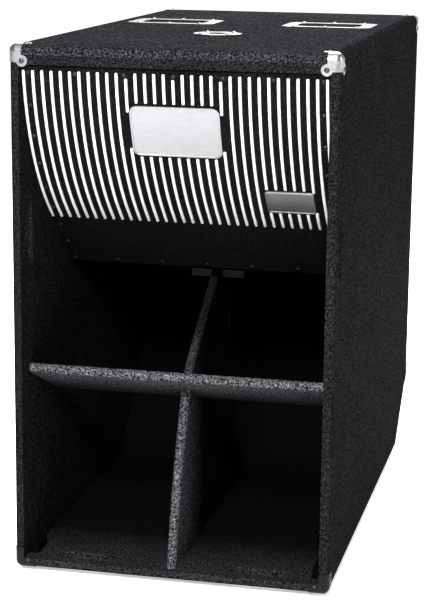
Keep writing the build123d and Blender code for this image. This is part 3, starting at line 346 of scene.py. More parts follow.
def lines(tree, where, spacing, along="X", wobble=0.0):
    """Parallel lines across one axis."""
    inputs = {"Vector": where, "Scale": pi / (10 * spacing), "Distortion": wobble, "Detail": 1.0}
    return node(tree, "TexWave", inputs, bands_direction=along).outputs["Fac"]


def span(tree, value, low, high, start=0.0, stop=1.0):
    """A pattern's value moved to another range."""
    inputs = {"Value": value, "From Min": start, "From Max": stop, "To Min": low, "To Max": high}
    return node(tree, "MapRange", inputs).outputs["Result"]


def shades(tree, value, dark, light, start=0.0, stop=1.0):
    """A colour between two, chosen by a pattern."""
    ramp = node(tree, "ValToRGB", {"Fac": value})
    ramp.color_ramp.elements[0].position = start
    ramp.color_ramp.elements[0].color = (*dark, 1)
    ramp.color_ramp.elements[1].position = stop
    ramp.color_ramp.elements[1].color = (*light, 1)
    return ramp.outputs["Color"]


def mixed(tree, share, first, second):
    """Two colours mixed by a pattern."""
    made = node(tree, "Mix", data_type="RGBA")
    tree.links.new(share, made.inputs["Factor"])
    for socket, value in zip((s for s in made.inputs if s.type == "RGBA"), (first, second)):
        if isinstance(value, bpy.types.NodeSocket):
            tree.links.new(value, socket)
        else:
            socket.default_value = (*value, 1)
    return next(s for s in made.outputs if s.type == "RGBA")


def both(tree, first, second, how="MULTIPLY"):
    """Two patterns joined."""
    made = node(tree, "Math", operation=how)
    for socket, value in zip(made.inputs, (first, second)):
        if isinstance(value, bpy.types.NodeSocket):
            tree.links.new(value, socket)
        else:
            socket.default_value = value
    return made.outputs["Value"]


def relief(tree, *heights):
    """Surface relief from patterns and their depths, one on another."""
    normal = None
    for pattern, depth in heights:
        inputs = {"Height": pattern, "Distance": depth, "Strength": 1.0}
        if normal:
            inputs["Normal"] = normal
        normal = node(tree, "Bump", inputs).outputs["Normal"]
    return normal


def coat(name, **sockets):
    """A new material, its tree and its shader, with the values that are the same all over it."""
    material = bpy.data.materials.new(name)
    material.use_nodes = True
    tree = material.node_tree
    shader = tree.nodes["Principled BSDF"]
    for key, value in sockets.items():
        shader.inputs[key.replace("_", " ")].default_value = value
    return material, tree, shader


def wire(tree, shader, colour=None, rough=None, normal=None, metal=None):
    """Patterns joined to a shader."""
    pairs = {"Base Color": colour, "Roughness": rough, "Normal": normal, "Metallic": metal}
    for key, value in pairs.items():
        if value is not None:
            tree.links.new(value, shader.inputs[key])


def textured_paint(name, paint, grain=1.0, lift=1.0, wear_and_painted_shade=None):
    """Sprayed textured paint: round grains with shiny tips over dull black, in soft patches.

    Given two depths behind the front, the grains' tips dull and darken between them: painted shade
    deeper inside the cabinet.
    """
    tint = (paint.edge_tint, paint.edge_tint, paint.edge_tint, 1.0)
    material, tree, shader = coat(name, Specular_IOR_Level=0.0, Specular_Tint=tint)
    where = place_on_piece(tree)
    bead = grains(tree, where, paint.grain * grain, 0.35)
    coarse = clouds(tree, where, paint.grain * grain * 1.7, 5.0, 0.8)
    patch = clouds(tree, where, 0.11, 3.0)
    tip = span(tree, bead, 1.0, 0.0, 0.08, 0.62)
    cluster = span(tree, coarse, 0.0, 1.0, 0.44, 0.66)
    peak = both(tree, cluster, span(tree, bead, 1.0, 0.25, 0.1, 0.7))
    # lift scales the tips' colour: some boards get lighter copies of this paint as painted highlights,
    # and darker copies as painted shade
    light = tuple(v * lift for v in paint.speck)
    # painted shade: the tips fade dark deeper behind the front
    if wear_and_painted_shade:
        depth = node(tree, "SeparateXYZ", {"Vector": where}).outputs["Y"]
        peak = both(
            tree, peak, span(tree, depth, 1.0, 0.08, SHELL_LOW.y + wear_and_painted_shade[0], SHELL_LOW.y + wear_and_painted_shade[1])
        )
    colour = mixed(tree, peak, tuple(paint.colour), light)
    colour = mixed(tree, span(tree, patch, 0.0, 0.4, 0.35, 0.8), colour, tuple(paint.colour))
    rough = span(tree, peak, 0.66, paint.shine)
    height = relief(tree, (coarse, paint.relief), (tip, paint.relief * 0.4))
    wire(tree, shader, colour, rough, height, span(tree, peak, 0.0, paint.glint))
    return material


def enamel(name, colour, rough=0.28):
    """Smooth sprayed enamel with faint dust and a slight orange peel."""
    material, tree, shader = coat(name, Coat_Weight=0.25, Coat_Roughness=0.12)
    where = place_on_piece(tree)
    dust = clouds(tree, where, 0.012, 5.0, 0.65)
    peel = clouds(tree, where, 0.0022, 1.0)
    shade = shades(tree, dust, tuple(v * 0.86 for v in colour), tuple(colour), 0.32, 0.6)
    wire(tree, shader, shade, span(tree, dust, rough + 0.14, rough), relief(tree, (peel, 0.00008)))
    return material


def brushed_metal(name, colour, along, rough=0.3, dark=0.75):
    """Metal with fine brush lines along one axis."""
    stretch = {"X": (0.03, 1, 1), "Y": (1, 0.03, 1), "Z": (1, 1, 0.03)}[along]
    material, tree, shader = coat(name, Metallic=1.0)
    line = clouds(tree, place_on_piece(tree, stretch), 0.0006, 3.0, 0.7)
    haze = clouds(tree, place_on_piece(tree), 0.03)
    shade = shades(tree, line, tuple(v * dark for v in colour), tuple(colour), 0.3, 0.7)
    rough_map = both(
        tree, span(tree, line, rough + 0.1, rough - 0.06, 0.3, 0.7), span(tree, haze, 0.85, 1.2)
    )
    wire(tree, shader, shade, rough_map, relief(tree, (line, 0.00004)))
    return material


def pressed_steel(name, colour, rough=0.24, stain=0.55):
    """Plated pressed steel with scuffs and dull patches."""
    material, tree, shader = coat(name, Metallic=1.0)
    where = place_on_piece(tree)
    scuff = clouds(tree, place_on_piece(tree, (1, 0.12, 1), (0.4, 0.7, 0.3)), 0.0016, 4.0, 0.75)
    patch = clouds(tree, where, 0.014, 4.0, 0.6)
    shade = mixed(
        tree, span(tree, patch, 0, 1, 0.42, 0.7), tuple(colour), tuple(v * stain for v in colour)
    )
    rough_map = both(
        tree, span(tree, scuff, rough - 0.05, rough + 0.2, 0.35, 0.7), span(tree, patch, 0.85, 1.35)
    )
    wire(tree, shader, shade, rough_map, relief(tree, (scuff, 0.00005), (patch, 0.00012)))
    return material


def powder_coat(name, colour, rough=0.45, peel_size=0.0011, gloss=0.5):
    """Powder coat with an even fine orange peel."""
    material, tree, shader = coat(name, Specular_IOR_Level=gloss)
    where = place_on_piece(tree)
    peel = clouds(tree, where, peel_size, 1.5, 0.5)
    patch = clouds(tree, where, 0.05, 3.0)
    shade = shades(
        tree, patch, tuple(v * 0.7 for v in colour), tuple(v * 1.25 for v in colour), 0.3, 0.72
    )
    wire(
        tree, shader, shade, span(tree, peel, rough - 0.08, rough + 0.14), relief(tree, (peel, 0.00022))
    )
    return material


def moulded(name, colour, rough=0.5, grain=0.0007, second=None):
    """Moulded rubber or plastic with a fine spark-eroded grain and faint mottling."""
    material, tree, shader = coat(name)
    where = place_on_piece(tree)
    spark = grains(tree, where, grain, 0.3)
    mottle = clouds(tree, where, grain * 24, 4.0, 0.6)
    light = second or tuple(v * 1.5 for v in colour)
    shade = shades(tree, mottle, tuple(colour), tuple(light), 0.35, 0.7)
    wire(
        tree,
        shader,
        shade,
        span(tree, spark, rough - 0.1, rough + 0.15, 0.0, 0.6),
        relief(tree, (spark, 0.0001)),
    )
    return material


def ribbed_rubber(name, colour):
    """Grip rubber with close ridges along its length."""
    material, tree, shader = coat(name)
    where = place_on_piece(tree)
    ridge = lines(tree, where, 0.004, "X")
    dust = clouds(tree, where, 0.004, 4.0, 0.7)
    shade = shades(tree, dust, tuple(colour), tuple(v * 2.2 for v in colour), 0.4, 0.75)
    wire(
        tree, shader, shade, span(tree, dust, 0.55, 0.8), relief(tree, (ridge, 0.0009), (dust, 0.0001))
    )
    return material


def plywood(name):
    """Bare birch plywood: long grain, fine pores and warm streaks."""
    material, tree, shader = coat(name)
    along = place_on_piece(tree, (0.05, 1, 1))
    streak = clouds(tree, along, 0.006, 5.0, 0.6)
    pore = clouds(tree, place_on_piece(tree, (0.08, 1, 1)), 0.0011, 3.0, 0.7)
    shade = shades(tree, streak, (0.36, 0.22, 0.11), (0.62, 0.46, 0.28), 0.3, 0.68)
    shade = mixed(tree, span(tree, pore, 0.0, 0.6, 0.55, 0.75), shade, (0.2, 0.11, 0.05))
    wire(tree, shader, shade, span(tree, pore, 0.5, 0.75), relief(tree, (pore, 0.0002)))
    return material


def felted(name, dark, light, size=0.0012, depth=0.0008, rough=0.95):
    """Matted fibres, for felt, foam and pressed pulp."""
    material, tree, shader = coat(name)
    first = clouds(tree, place_on_piece(tree, (1, 0.22, 1), (0.5, 0.2, 0.9)), size, 4.0, 0.7)
    second = clouds(tree, place_on_piece(tree, (0.22, 1, 1), (0.1, 0.8, 0.3)), size, 4.0, 0.7)
    fibre = both(tree, first, second, "MAXIMUM")
    shade = shades(tree, fibre, tuple(dark), tuple(light), 0.45, 0.72)
    wire(tree, shader, shade, span(tree, fibre, rough, rough - 0.15), relief(tree, (fibre, depth)))
    return material


def woven(name, dark, light, thread=0.0011, turn=(0, 0, 0)):
    """Plain-woven treated cloth."""
    material, tree, shader = coat(name, Sheen_Weight=0.15)
    where = place_on_piece(tree, (1, 1, 1), turn)
    weft = lines(tree, where, thread, "X", 0.4)
    warp = lines(tree, where, thread, "Y", 0.4)
    weave = both(tree, weft, warp, "MAXIMUM")
    wear_and_painted_shade = clouds(tree, where, 0.02, 4.0)
    shade = shades(tree, weave, tuple(dark), tuple(light), 0.2, 0.95)
    shade = mixed(tree, span(tree, wear_and_painted_shade, 0.0, 0.5, 0.35, 0.75), shade, tuple(dark))
    wire(tree, shader, shade, span(tree, weave, 0.85, 0.6), relief(tree, (weave, 0.0003)))
    return material


def wound_wire(name, turn):
    """Copper wire wound in close turns."""
    material, tree, shader = coat(name, Metallic=0.9)
    where = place_on_piece(tree, (1, 1, 1), turn)
    wires = lines(tree, where, 0.0008, "Z")
    patch = clouds(tree, where, 0.01)
    shade = shades(tree, patch, (0.5, 0.22, 0.09), (0.8, 0.42, 0.2), 0.3, 0.7)
    wire(tree, shader, shade, span(tree, wires, 0.5, 0.25), relief(tree, (wires, 0.0003)))
    return material


# ---- mesh helpers -----------------------------------------------------------------
def finish_piece(mesh, name, material, body, smooth=None):
    """A bmesh made into a piece with its finish, riding on a CAD body."""
    bmesh.ops.remove_doubles(mesh, verts=mesh.verts[:], dist=0.00001)
    bmesh.ops.recalc_face_normals(mesh, faces=mesh.faces[:])
    data = bpy.data.meshes.new(name)
    mesh.to_mesh(data)
    mesh.free()
    data.materials.append(material)
    piece = bpy.data.objects.new(name, data)
    bpy.context.scene.collection.objects.link(piece)
    if smooth:
        data.shade_smooth()
        data.set_sharp_from_angle(angle=smooth)
    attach(piece, body)
    return piece


def box_between(mesh, low, high):
    """A box between two corners."""
    made = bmesh.ops.create_cube(mesh, size=1.0)["verts"]
    middle = (Vector(low) + Vector(high)) / 2
    size = Vector(high) - Vector(low)
    bmesh.ops.scale(mesh, vec=size, verts=made)
    bmesh.ops.translate(mesh, vec=middle, verts=made)


def edges_where(mesh, test):
    """Edges that pass a test."""
    return [edge for edge in mesh.edges if test(edge)]


def rounded(mesh, edges, radius, segments):
    """Edges rounded by a bevel."""
    bmesh.ops.bevel(
        mesh, geom=edges, offset=radius, offset_type="OFFSET", segments=segments, profile=0.5,
        affect="EDGES", clamp_overlap=True, material=-1,
    )


def joined(whole, part):
    """One mesh added to another and freed."""
    data = bpy.data.meshes.new("part")
    part.to_mesh(data)
    part.free()
    whole.from_mesh(data)
    bpy.data.meshes.remove(data)


def soft_bar(whole, low, high, radius, middle=None, angle=0.0, axis="X"):
    """A bar with all its edges rounded, turned about a point, added to a mesh."""
    part = bmesh.new()
    box_between(part, low, high)
    rounded(part, part.edges[:], radius, 2)
    if middle:
        bmesh.ops.rotate(part, verts=part.verts[:], cent=middle, matrix=Matrix.Rotation(angle, 3, axis))
    joined(whole, part)


def cut_across(mesh, axis, places):
    """Loops of edges cut across the whole mesh at places along one axis."""
    normal = Vector([1.0 if i == axis else 0.0 for i in range(3)])
    for spot in places:
        geometry = mesh.verts[:] + mesh.edges[:] + mesh.faces[:]
        bmesh.ops.bisect_plane(
            mesh, geom=geometry, dist=0.000001, plane_co=normal * spot, plane_no=normal
        )


def paint_nodes(nodes, material):
    """A better material in every slot of some CAD nodes."""
    for name in nodes:
        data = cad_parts[name].data
        if not data.materials:
            data.materials.append(material)
        for i in range(len(data.materials)):
            data.materials[i] = material


# ---- cover geometry ---------------------------------------------------------------
def cover_arc(cover):
    """Length of the cover's curved part."""
    return cover.radius * cover.turn


def cover_length(cover):
    """Length of the cover down its face."""
    return cover_arc(cover) + cover.straight


def on_cover(cover, flat):
    """A flat point (across, down the cover, off its face) moved onto the curved cover."""
    along = flat.y
    bend = min(along, cover_arc(cover))
    angle = cover.start + bend / cover.radius
    past = max(along - cover_arc(cover), 0.0)
    behind = cover.setback + cover.radius * (cos(cover.start) - cos(angle))
    drop = cover.radius * (sin(angle) - sin(cover.start))
    behind += past * sin(angle) - flat.z * cos(angle)
    drop += past * cos(angle) + flat.z * sin(angle)
    return Vector((flat.x, SHELL_LOW.y + behind, SHELL_HIGH.z - cover.below_top - drop))


def wrap_on_cover(mesh, cover):
    """Every point of a flat mesh moved onto the curved cover."""
    for vertex in mesh.verts:
        vertex.co = on_cover(cover, vertex.co)


def cuts_between(start, stop, step):
    """Even places between two distances, about a step apart."""
    count = max(1, round((stop - start) / step))
    return [start + (stop - start) * i / count for i in range(1, count)]


def plate_spots(cover):
    """Each blank plate as its middle on the flat cover, its size and its corner radius."""
    badge_low, badge_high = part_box("badge_plate")
    tag_low, tag_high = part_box("tag_plate")
    rib_bottom = cover_length(cover) - cover.rib_end
    badge_size = (badge_high.x - badge_low.x, cover.badge_height)
    tag_size = (tag_high.x - tag_low.x, cover.tag_height)
    tag_middle = ((tag_low.x + tag_high.x) / 2, rib_bottom - cover.tag_up)
    return {
        "badge_plate": ((0.0, cover.badge_down), badge_size, cover.badge_corner),
        "tag_plate": (tag_middle, tag_size, cover.tag_corner),
    }


def plate_block(cover, x, spot):
    """Stretch of the cover that a blank plate takes from the rib at x, or nothing."""
    (mid_x, mid_s), (width, height), corner = spot
    radius = corner + cover.plate_gap
    reach = width / 2 + cover.plate_gap
    past = abs(x - mid_x) + cover.rib_width / 2
    if past >= reach + cover.rib_width / 2:
        return []
    round_part = min(max(0.0, min(past, reach) - (reach - radius)), radius)
    tall = height / 2 + cover.plate_gap - radius + (radius**2 - round_part**2) ** 0.5
    return [(mid_s - tall, mid_s + tall)]


def without(runs, low, high):
    """Stretches with the part between two places taken out."""
    left = []
    for start, stop in runs:
        if high <= start or low >= stop:
            left.append((start, stop))
            continue
        if low > start:
            left.append((start, low))
        if high < stop:
            left.append((high, stop))
    return left


def rib_runs(cover, x, screws):
    """Stretches of one rib that stay clear of the plates and of the screws near it."""
    runs = [(cover.rib_top, cover_length(cover) - cover.rib_end)]
    blocks = [block for spot in plate_spots(cover).values() for block in plate_block(cover, x, spot)]
    for screw_x, screw_s in screws:
        if abs(screw_x - x) < SCREW_HEAD + cover.rib_width / 2:
            blocks.append((screw_s - cover.screw_room, screw_s + cover.screw_room))
    for low, high in blocks:
        runs = without(runs, low, high)
    return [run for run in runs if run[1] - run[0] > SHORTEST_RIB]


# ---- operators --------------------------------------------------------------------
# Each lamp's kind, where it stands, what it points at, the setting of its strength, and its size.
LAMPS = {
    "key_lamp": ("AREA", (0.3, -4.3, 3.0), (0.0, -0.5, 0.6), "key", 1.2),
    "top_lamp": ("AREA", (-0.3, 3.0, 3.4), (0.0, 0.2, 1.0), "top", 2.4),
    "side_lamp": ("AREA", (3.4, 0.6, 1.8), (0.3, 0.1, 0.5), "side", 1.6),
    "wide_light": ("SUN", (0.4, -2.0, 5.0), (0.0, 0.0, 0.0), "sun", radians(50)),
}


class CABINET_OT_stage(bpy.types.Operator):
    """Camera, pale floor and soft studio lamps"""

    bl_idname = "cabinet.stage"
    bl_label = "Stage"

    def execute(self, context):
        stage = context.scene.cabinet_stage
        self.camera(context, stage)
        self.floor(stage)
        self.room(context, stage)
        for name, (kind, stand, aim, setting, size) in LAMPS.items():
            self.lamp(name, kind, stand, aim, getattr(stage, setting), size)
        return {"FINISHED"}

    def camera(self, context, stage):
        data = bpy.data.cameras.new("camera")
        data.sensor_fit = "VERTICAL"
        data.sensor_height = 36.0
        data.sensor_width = 25.5
        data.lens = stage.lens
        data.clip_end = 200.0
        camera = bpy.data.objects.new("camera", data)
        turn = Matrix.Rotation(stage.yaw, 4, "Z") @ Matrix.Rotation(pi / 2 - stage.pitch, 4, "X")
        turn = turn @ Matrix.Rotation(stage.roll, 4, "Z")
        camera.matrix_world = Matrix.Translation(stage.stand) @ turn
        context.scene.collection.objects.link(camera)
        context.scene.camera = camera

    def floor(self, stage):
        mesh = bmesh.new()
        bmesh.ops.create_grid(mesh, x_segments=8, y_segments=8, size=60.0)
        data = bpy.data.meshes.new("floor")
        mesh.to_mesh(data)
        mesh.free()
        material, tree, shader = coat(
            "floor_paper", Roughness=0.9, Emission_Color=(1, 1, 1, 1), Emission_Strength=0.5
        )
        mottle = clouds(tree, place_on_piece(tree), 0.7, 2.0)
        colour = tuple(stage.floor_colour)
        wire(tree, shader, shades(tree, mottle, tuple(v * 0.985 for v in colour), colour, 0.3, 0.7))
        data.materials.append(material)
        floor = bpy.data.objects.new("floor", data)
        bpy.context.scene.collection.objects.link(floor)

    def room(self, context, stage):
        world = bpy.data.worlds.new("room")
        world.use_nodes = True
        background = world.node_tree.nodes["Background"]
        background.inputs["Color"].default_value = (0.98, 0.99, 1.0, 1)
        background.inputs["Strength"].default_value = stage.sky
        context.scene.world = world
        context.scene.view_settings.view_transform = "Standard"

    def lamp(self, name, kind, stand, aim, power, size):
        data = bpy.data.lights.new(name, kind)
        data.energy = power
        if kind == "AREA":
            data.shape = "DISK"
            data.size = size
        else:
            data.angle = size
        lamp = bpy.data.objects.new(name, data)
        direction = Vector(aim) - Vector(stand)
        turn = direction.to_track_quat("-Z", "Y").to_matrix().to_4x4()
        lamp.matrix_world = Matrix.Translation(stand) @ turn
        bpy.context.scene.collection.objects.link(lamp)


class CABINET_OT_boards(bpy.types.Operator):
    """Textured paint on every board of the cabinet"""

    bl_idname = "cabinet.boards"
    bl_label = "Painted boards"

    def execute(self, context):
        paint = context.scene.cabinet_paint
        shell = (
            "side_panel_right", "side_panel_left", "rear_panel", "rear_chamfer_panel", "header_rail"
        )
        paint_nodes(shell, textured_paint("textured_paint", paint, 1.0, 0.85))
        # painted light: a lighter copy of the paint on the top panel, for the light falling from above
        paint_nodes(("top_panel",), textured_paint("top_paint", paint, 1.0, 1.8))
        # painted highlight: much lighter grain tips paint the glint on the vane's and divider's front
        # edges; painted shade: the tips fade dark deeper inside
        paint_nodes(
            ("mouth_vane", "mouth_divider"), textured_paint("vane_paint", paint, 1.0, 6.0, (0.05, 0.24))
        )
        # painted highlight: lighter grain tips paint the glint on the floor board's front edge and slot
        # rims; painted shade: the tips fade dark deeper inside
        paint_nodes(("bottom_panel",), textured_paint("floor_paint", paint, 1.0, 1.6, (0.04, 0.2)))
        inside = (
            "driver_baffle",
            "chamber_floor",
            "foot_battens",
            "throat_brace",
            "rear_ramp",
            "throat_board",
        )
        # painted shade: a near-black copy of the paint on the boards inside the cabinet
        paint_nodes((*inside, "corner_cleats"), textured_paint("rolled_paint", paint, 1.4, 0.05))
        return {"FINISHED"}


class CABINET_OT_cover(bpy.types.Operator):
    """The curved cover's paint, its gasket and its battens"""

    bl_idname = "cabinet.cover"
    bl_label = "Curved cover"

    def execute(self, context):
        paint = context.scene.cabinet_paint
        paint_nodes(("front_cover",), textured_paint("cover_paint", paint, 0.8, 0.4))
        paint_nodes(
            ("cover_gasket", "driver_gasket"),
            felted("closed_cell_foam", (0.02, 0.02, 0.02), (0.07, 0.07, 0.07)),
        )
        paint_nodes(("cover_battens",), plywood("bare_plywood"))
        paint_nodes(("cover_screws",), pressed_steel("cover_screw_steel", (0.035, 0.035, 0.037), 0.45))
        return {"FINISHED"}


class CABINET_OT_ribs(bpy.types.Operator):
    """White enamelled ribs with rounded crests, wrapped onto the cover"""

    bl_idname = "cabinet.ribs"
    bl_label = "Ribs"

    def execute(self, context):
        cover = context.scene.cabinet_cover
        mesh = bmesh.new()
        outer = INSIDE_HALF - SIDE_GAP
        count = int((outer - EDGE_RIB - cover.rib_width / 2) / cover.rib_pitch)
        screws = [(i * cover.screw_pitch, cover.screw_inset) for i in range(-2, 3)]
        for i in range(-count, count + 1):
            x = i * cover.rib_pitch
            for start, stop in rib_runs(cover, x, screws):
                self.rib(mesh, cover, x, start, stop, abs(i) == count)
        wrap_on_cover(mesh, cover)
        material = enamel("white_enamel", tuple(cover.rib_colour))
        piece = finish_piece(mesh, "front_ribs", material, "cabinet", radians(50))
        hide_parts("cover_ribs")
        return {"FINISHED"}

    def rib(self, whole, cover, x, start, stop, outermost):
        """One stretch of rib, lying flat."""
        half = cover.rib_width / 2
        low_x, high_x = x - half, x + half
        if outermost:
            low_x, high_x = (x - EDGE_RIB, high_x) if x > 0 else (low_x, x + EDGE_RIB)
        part = bmesh.new()
        box_between(part, (low_x, start, 0.0), (high_x, stop, cover.rib_rise))
        crest = edges_where(part, lambda edge: all(v.co.z > cover.rib_rise * 0.9 for v in edge.verts))
        upright = edges_where(
            part, lambda edge: abs(edge.verts[0].co.z - edge.verts[1].co.z) > cover.rib_rise * 0.9
        )
        rounded(part, crest + upright, min(cover.rib_rise * 0.72, (high_x - low_x) * 0.38), 3)
        cut_across(part, 1, cuts_between(start + half, stop - half, 0.02))
        joined(whole, part)


class CABINET_OT_plates(bpy.types.Operator):
    """Two blank plates with a raised rim and a brushed field"""

    bl_idname = "cabinet.plates"
    bl_label = "Blank plates"

    def execute(self, context):
        cover = context.scene.cabinet_cover
        material = brushed_metal("brushed_plate", tuple(cover.plate_colour), "X", 0.34)
        for name, (middle, size, corner) in plate_spots(cover).items():
            mesh = self.plate(cover, middle, size, corner)
            wrap_on_cover(mesh, cover)
            piece = finish_piece(
                mesh, name.replace("_plate", "_blank"), material, "cabinet", radians(40)
            )
            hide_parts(name)
        return {"FINISHED"}

    def plate(self, cover, middle, size, corner):
        """A flat plate with rounded corners and a rim raised round its field."""
        rise = cover.plate_rise
        mesh = bmesh.new()
        low = (middle[0] - size[0] / 2, middle[1] - size[1] / 2, 0.0)
        high = (middle[0] + size[0] / 2, middle[1] + size[1] / 2, rise)
        box_between(mesh, low, high)
        upright = edges_where(
            mesh, lambda edge: abs(edge.verts[0].co.z - edge.verts[1].co.z) > rise * 0.5
        )
        rounded(mesh, upright, corner, 6)
        top = [face for face in mesh.faces if face.calc_center_median().z > rise * 0.99]
        bmesh.ops.inset_region(mesh, faces=top, thickness=PLATE_RIM, depth=0.0)
        top = [face for face in mesh.faces if face.calc_center_median().z > rise * 0.99]
        field = [max(top, key=lambda face: face.calc_area())]
        bmesh.ops.inset_region(mesh, faces=field, thickness=PLATE_STEP[0], depth=-PLATE_STEP[1])
        brim = edges_where(
            mesh, lambda edge: all(v.co.z > rise * 0.99 for v in edge.verts) and self.outer(edge)
        )
        rounded(mesh, brim, PLATE_BRIM, 2)
        cut_across(mesh, 1, cuts_between(low[1] + corner, high[1] - corner, 0.012))
        return mesh

    def outer(self, edge):
        """Whether an edge runs round the plate's outside."""
        return any(abs(face.normal.z) < 0.1 for face in edge.link_faces)


class CABINET_OT_hardware(bpy.types.Operator):
    """Corner caps, handles, pole socket and screws"""

    bl_idname = "cabinet.hardware"
    bl_label = "Hardware"

    def execute(self, context):
        paint_nodes(("corner_caps_top",), pressed_steel("cap_steel", (0.42, 0.42, 0.43), 0.24))
        paint_nodes(
            ("corner_caps_bottom",),
            powder_coat("black_cap", (0.004, 0.004, 0.0044), 0.55, 0.0011, 0.12),
        )
        paint_nodes(
            ("handle_cup_left", "handle_cup_right", "pole_socket", "input_plate", "divider_brackets"),
            powder_coat("black_powder_coat", (0.006, 0.006, 0.0065), 0.5, 0.0011, 0.2),
        )
        paint_nodes(("handle_grips",), ribbed_rubber("grip_rubber", (0.02, 0.02, 0.02)))
        paint_nodes(
            ("corner_cap_screws", "input_screws", "wheel_screws", "driver_bolts"),
            pressed_steel("black_oxide", (0.06, 0.06, 0.062), 0.38),
        )
        paint_nodes(("top_screws",), pressed_steel("top_screw_steel", (0.2, 0.2, 0.2), 0.32))
        paint_nodes(
            ("foot_screws", "wheel_brackets", "wheel_axles"),
            pressed_steel("zinc_plate", (0.58, 0.58, 0.55), 0.32, 0.7),
        )
        return {"FINISHED"}


class CABINET_OT_driver(bpy.types.Operator):
    """The driver's casting, cone, cloth and magnet"""

    bl_idname = "cabinet.driver"
    bl_label = "Driver"

    def execute(self, context):
        lean = radians(28.4)
        paint_nodes(("driver_frame",), powder_coat("cast_frame", (0.035, 0.035, 0.038), 0.5, 0.002))
        paint_nodes(
            ("driver_cone", "driver_dust_cap"),
            felted("pressed_pulp", (0.012, 0.012, 0.013), (0.05, 0.05, 0.055), 0.002, 0.0003, 0.9),
        )
        paint_nodes(
            ("driver_surround",),
            woven("treated_cloth", (0.012, 0.012, 0.013), (0.045, 0.045, 0.05), 0.0013, (-lean, 0, 0)),
        )
        paint_nodes(
            ("driver_spider",),
            woven("dipped_cotton", (0.3, 0.2, 0.07), (0.62, 0.48, 0.24), 0.0012, (-lean, 0, 0)),
        )
        paint_nodes(("driver_voice_coil",), wound_wire("copper_winding", (pi / 2 - lean, 0, 0)))
        paint_nodes(
            ("driver_magnet",),
            felted("ferrite", (0.03, 0.03, 0.032), (0.09, 0.09, 0.095), 0.0016, 0.0001, 0.7),
        )
        paint_nodes(
            ("driver_top_plate", "driver_back_plate"),
            pressed_steel("iron_plate", (0.4, 0.4, 0.38), 0.36),
        )
        paint_nodes(("driver_terminals",), moulded("red_phenolic", (0.3, 0.02, 0.015), 0.4))
        paint_nodes(
            ("chamber_lining",),
            felted("grey_felt", (0.08, 0.08, 0.085), (0.36, 0.36, 0.37), 0.0014, 0.0012, 1.0),
        )
        return {"FINISHED"}


class CABINET_OT_running_gear(bpy.types.Operator):
    """Feet, wheels, sockets and cable"""

    bl_idname = "cabinet.running_gear"
    bl_label = "Feet, wheels and sockets"

    def execute(self, context):
        paint_nodes(
            ("rubber_feet", "wheel_tyre_left", "wheel_tyre_right"),
            moulded("black_rubber", (0.018, 0.018, 0.018), 0.62),
        )
        paint_nodes(
            ("wheel_hub_left", "wheel_hub_right"),
            moulded("glass_nylon", (0.05, 0.05, 0.052), 0.45, 0.0009, (0.11, 0.11, 0.115)),
        )
        paint_nodes(("input_sockets",), moulded("blue_nylon", (0.01, 0.03, 0.13), 0.35))
        paint_nodes(("speaker_cable",), moulded("cable_jacket", (0.015, 0.015, 0.016), 0.5))
        return {"FINISHED"}


class CABINET_OT_spokes(bpy.types.Operator):
    """Moulded spokes on both faces of each wheel, turning with it"""

    bl_idname = "cabinet.spokes"
    bl_label = "Wheel spokes"

    def execute(self, context):
        detail = context.scene.cabinet_detail
        material = moulded("spoke_nylon", (0.05, 0.05, 0.052), 0.45, 0.0009, (0.11, 0.11, 0.115))
        for side in ("left", "right"):
            low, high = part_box("wheel_hub_" + side)
            middle = (low + high) / 2
            rim = (high.z - low.z) / 2
            half = (high.x - low.x) / 2
            mesh = bmesh.new()
            for i in range(detail.spokes):
                for face in (-1, 1):
                    self.spoke(mesh, detail, middle, face, half, rim, 2 * pi * i / detail.spokes)
            piece = finish_piece(
                mesh, "wheel_spokes_" + side, material, "wheel_" + side, radians(40)
            )
            if not piece.data.polygons:
                raise RuntimeError("the wheel has no spokes")
        return {"FINISHED"}

    def spoke(self, mesh, detail, middle, face, half, rim, angle):
        """One spoke from the hub to the rim."""
        inner, outer = (rim * share for share in SPOKE_SPAN)
        shallow, tall = sorted((face * detail.web, face * half * SPOKE_FACE))
        low = middle + Vector((shallow, -detail.spoke_width / 2, inner))
        high = middle + Vector((tall, detail.spoke_width / 2, outer))
        soft_bar(mesh, low, high, 0.0008, middle, angle)


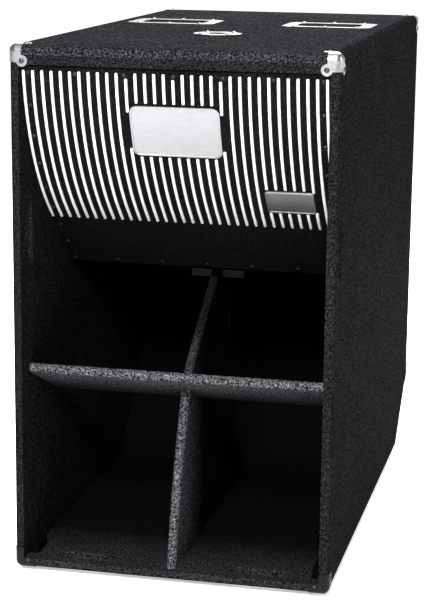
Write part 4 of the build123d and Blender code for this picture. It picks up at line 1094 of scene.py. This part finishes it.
class CABINET_OT_connectors(bpy.types.Operator):
    """Brass contacts and a steel thumb latch on each rear connector"""

    bl_idname = "cabinet.connectors"
    bl_label = "Connector contacts"

    def execute(self, context):
        detail = context.scene.cabinet_detail
        low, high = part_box("input_sockets")
        collar = (high.z - low.z) / 2
        contacts, latches = bmesh.new(), bmesh.new()
        for x in (low.x + collar, high.x - collar):
            middle = Vector((x, high.y, (low.z + high.z) / 2))
            for i in range(detail.contacts):
                self.contact(contacts, detail, middle, 2 * pi * (i + 0.5) / detail.contacts)
            self.latch(latches, detail, middle, collar)
        brass = pressed_steel("contact_brass", (0.62, 0.42, 0.16), 0.25, 0.7)
        finish_piece(contacts, "socket_contacts", brass, "cabinet", radians(40))
        steel = pressed_steel("latch_steel", (0.5, 0.5, 0.5), 0.3, 0.7)
        finish_piece(latches, "socket_latches", steel, "cabinet", radians(40))
        return {"FINISHED"}

    def contact(self, mesh, detail, middle, angle):
        """One blade in the connector's ring-shaped well."""
        wide, thick = CONTACT_HALF
        low = middle + Vector((-wide, -CONTACT_DEPTHS[0], detail.well - thick))
        high = middle + Vector((wide, -CONTACT_DEPTHS[1], detail.well + thick))
        soft_bar(mesh, low, high, 0.0003, middle, angle, "Y")

    def latch(self, mesh, detail, middle, collar):
        """The thumb latch lying along the connector's top."""
        low = middle + Vector((-LATCH_HALF, -LATCH_LENGTH, detail.connector_radius - LATCH_SEAT))
        high = middle + Vector((LATCH_HALF, 0.0, collar - LATCH_SEAT))
        soft_bar(mesh, low, high, 0.0008)
        for spot in GRIP_SPOTS:
            grip = middle + Vector((-GRIP_HALF, spot - GRIP_LENGTH / 2, collar - GRIP_RISE))
            soft_bar(mesh, grip, grip + Vector((2 * GRIP_HALF, GRIP_LENGTH, GRIP_RISE)), 0.0002)


OPERATORS = (
    CABINET_OT_stage,
    CABINET_OT_boards,
    CABINET_OT_cover,
    CABINET_OT_ribs,
    CABINET_OT_plates,
    CABINET_OT_hardware,
    CABINET_OT_driver,
    CABINET_OT_running_gear,
    CABINET_OT_spokes,
    CABINET_OT_connectors,
)


class CABINET_PT_panel(bpy.types.Panel):
    """Buttons and sizes for each piece of the cabinet"""

    bl_idname = "CABINET_PT_panel"
    bl_label = "Subwoofer cabinet"
    bl_space_type = "VIEW_3D"
    bl_region_type = "UI"
    bl_category = "Cabinet"

    def draw(self, context):
        for name in SETTING_GROUPS:
            group = getattr(context.scene, name)
            box = self.layout.box()
            for key in group.__annotations__:
                box.prop(group, key)
        for operator in OPERATORS:
            self.layout.operator(operator.bl_idname)


def register():
    """Classes and settings made known to Blender."""
    for kind in (*SETTING_GROUPS.values(), *OPERATORS, CABINET_PT_panel):
        bpy.utils.register_class(kind)
    for name, kind in SETTING_GROUPS.items():
        setattr(bpy.types.Scene, name, bpy.props.PointerProperty(type=kind))


def unregister():
    """Classes and settings taken away again."""
    for name in SETTING_GROUPS:
        delattr(bpy.types.Scene, name)
    for kind in reversed((*SETTING_GROUPS.values(), *OPERATORS, CABINET_PT_panel)):
        bpy.utils.unregister_class(kind)


def main():
    """Make the whole cabinet."""
    register()
    bpy.ops.cabinet.stage()
    bpy.ops.cabinet.boards()
    bpy.ops.cabinet.cover()
    bpy.ops.cabinet.ribs()
    bpy.ops.cabinet.plates()
    bpy.ops.cabinet.hardware()
    bpy.ops.cabinet.driver()
    bpy.ops.cabinet.running_gear()
    bpy.ops.cabinet.spokes()
    bpy.ops.cabinet.connectors()


if __name__ == "__main__":
    main()
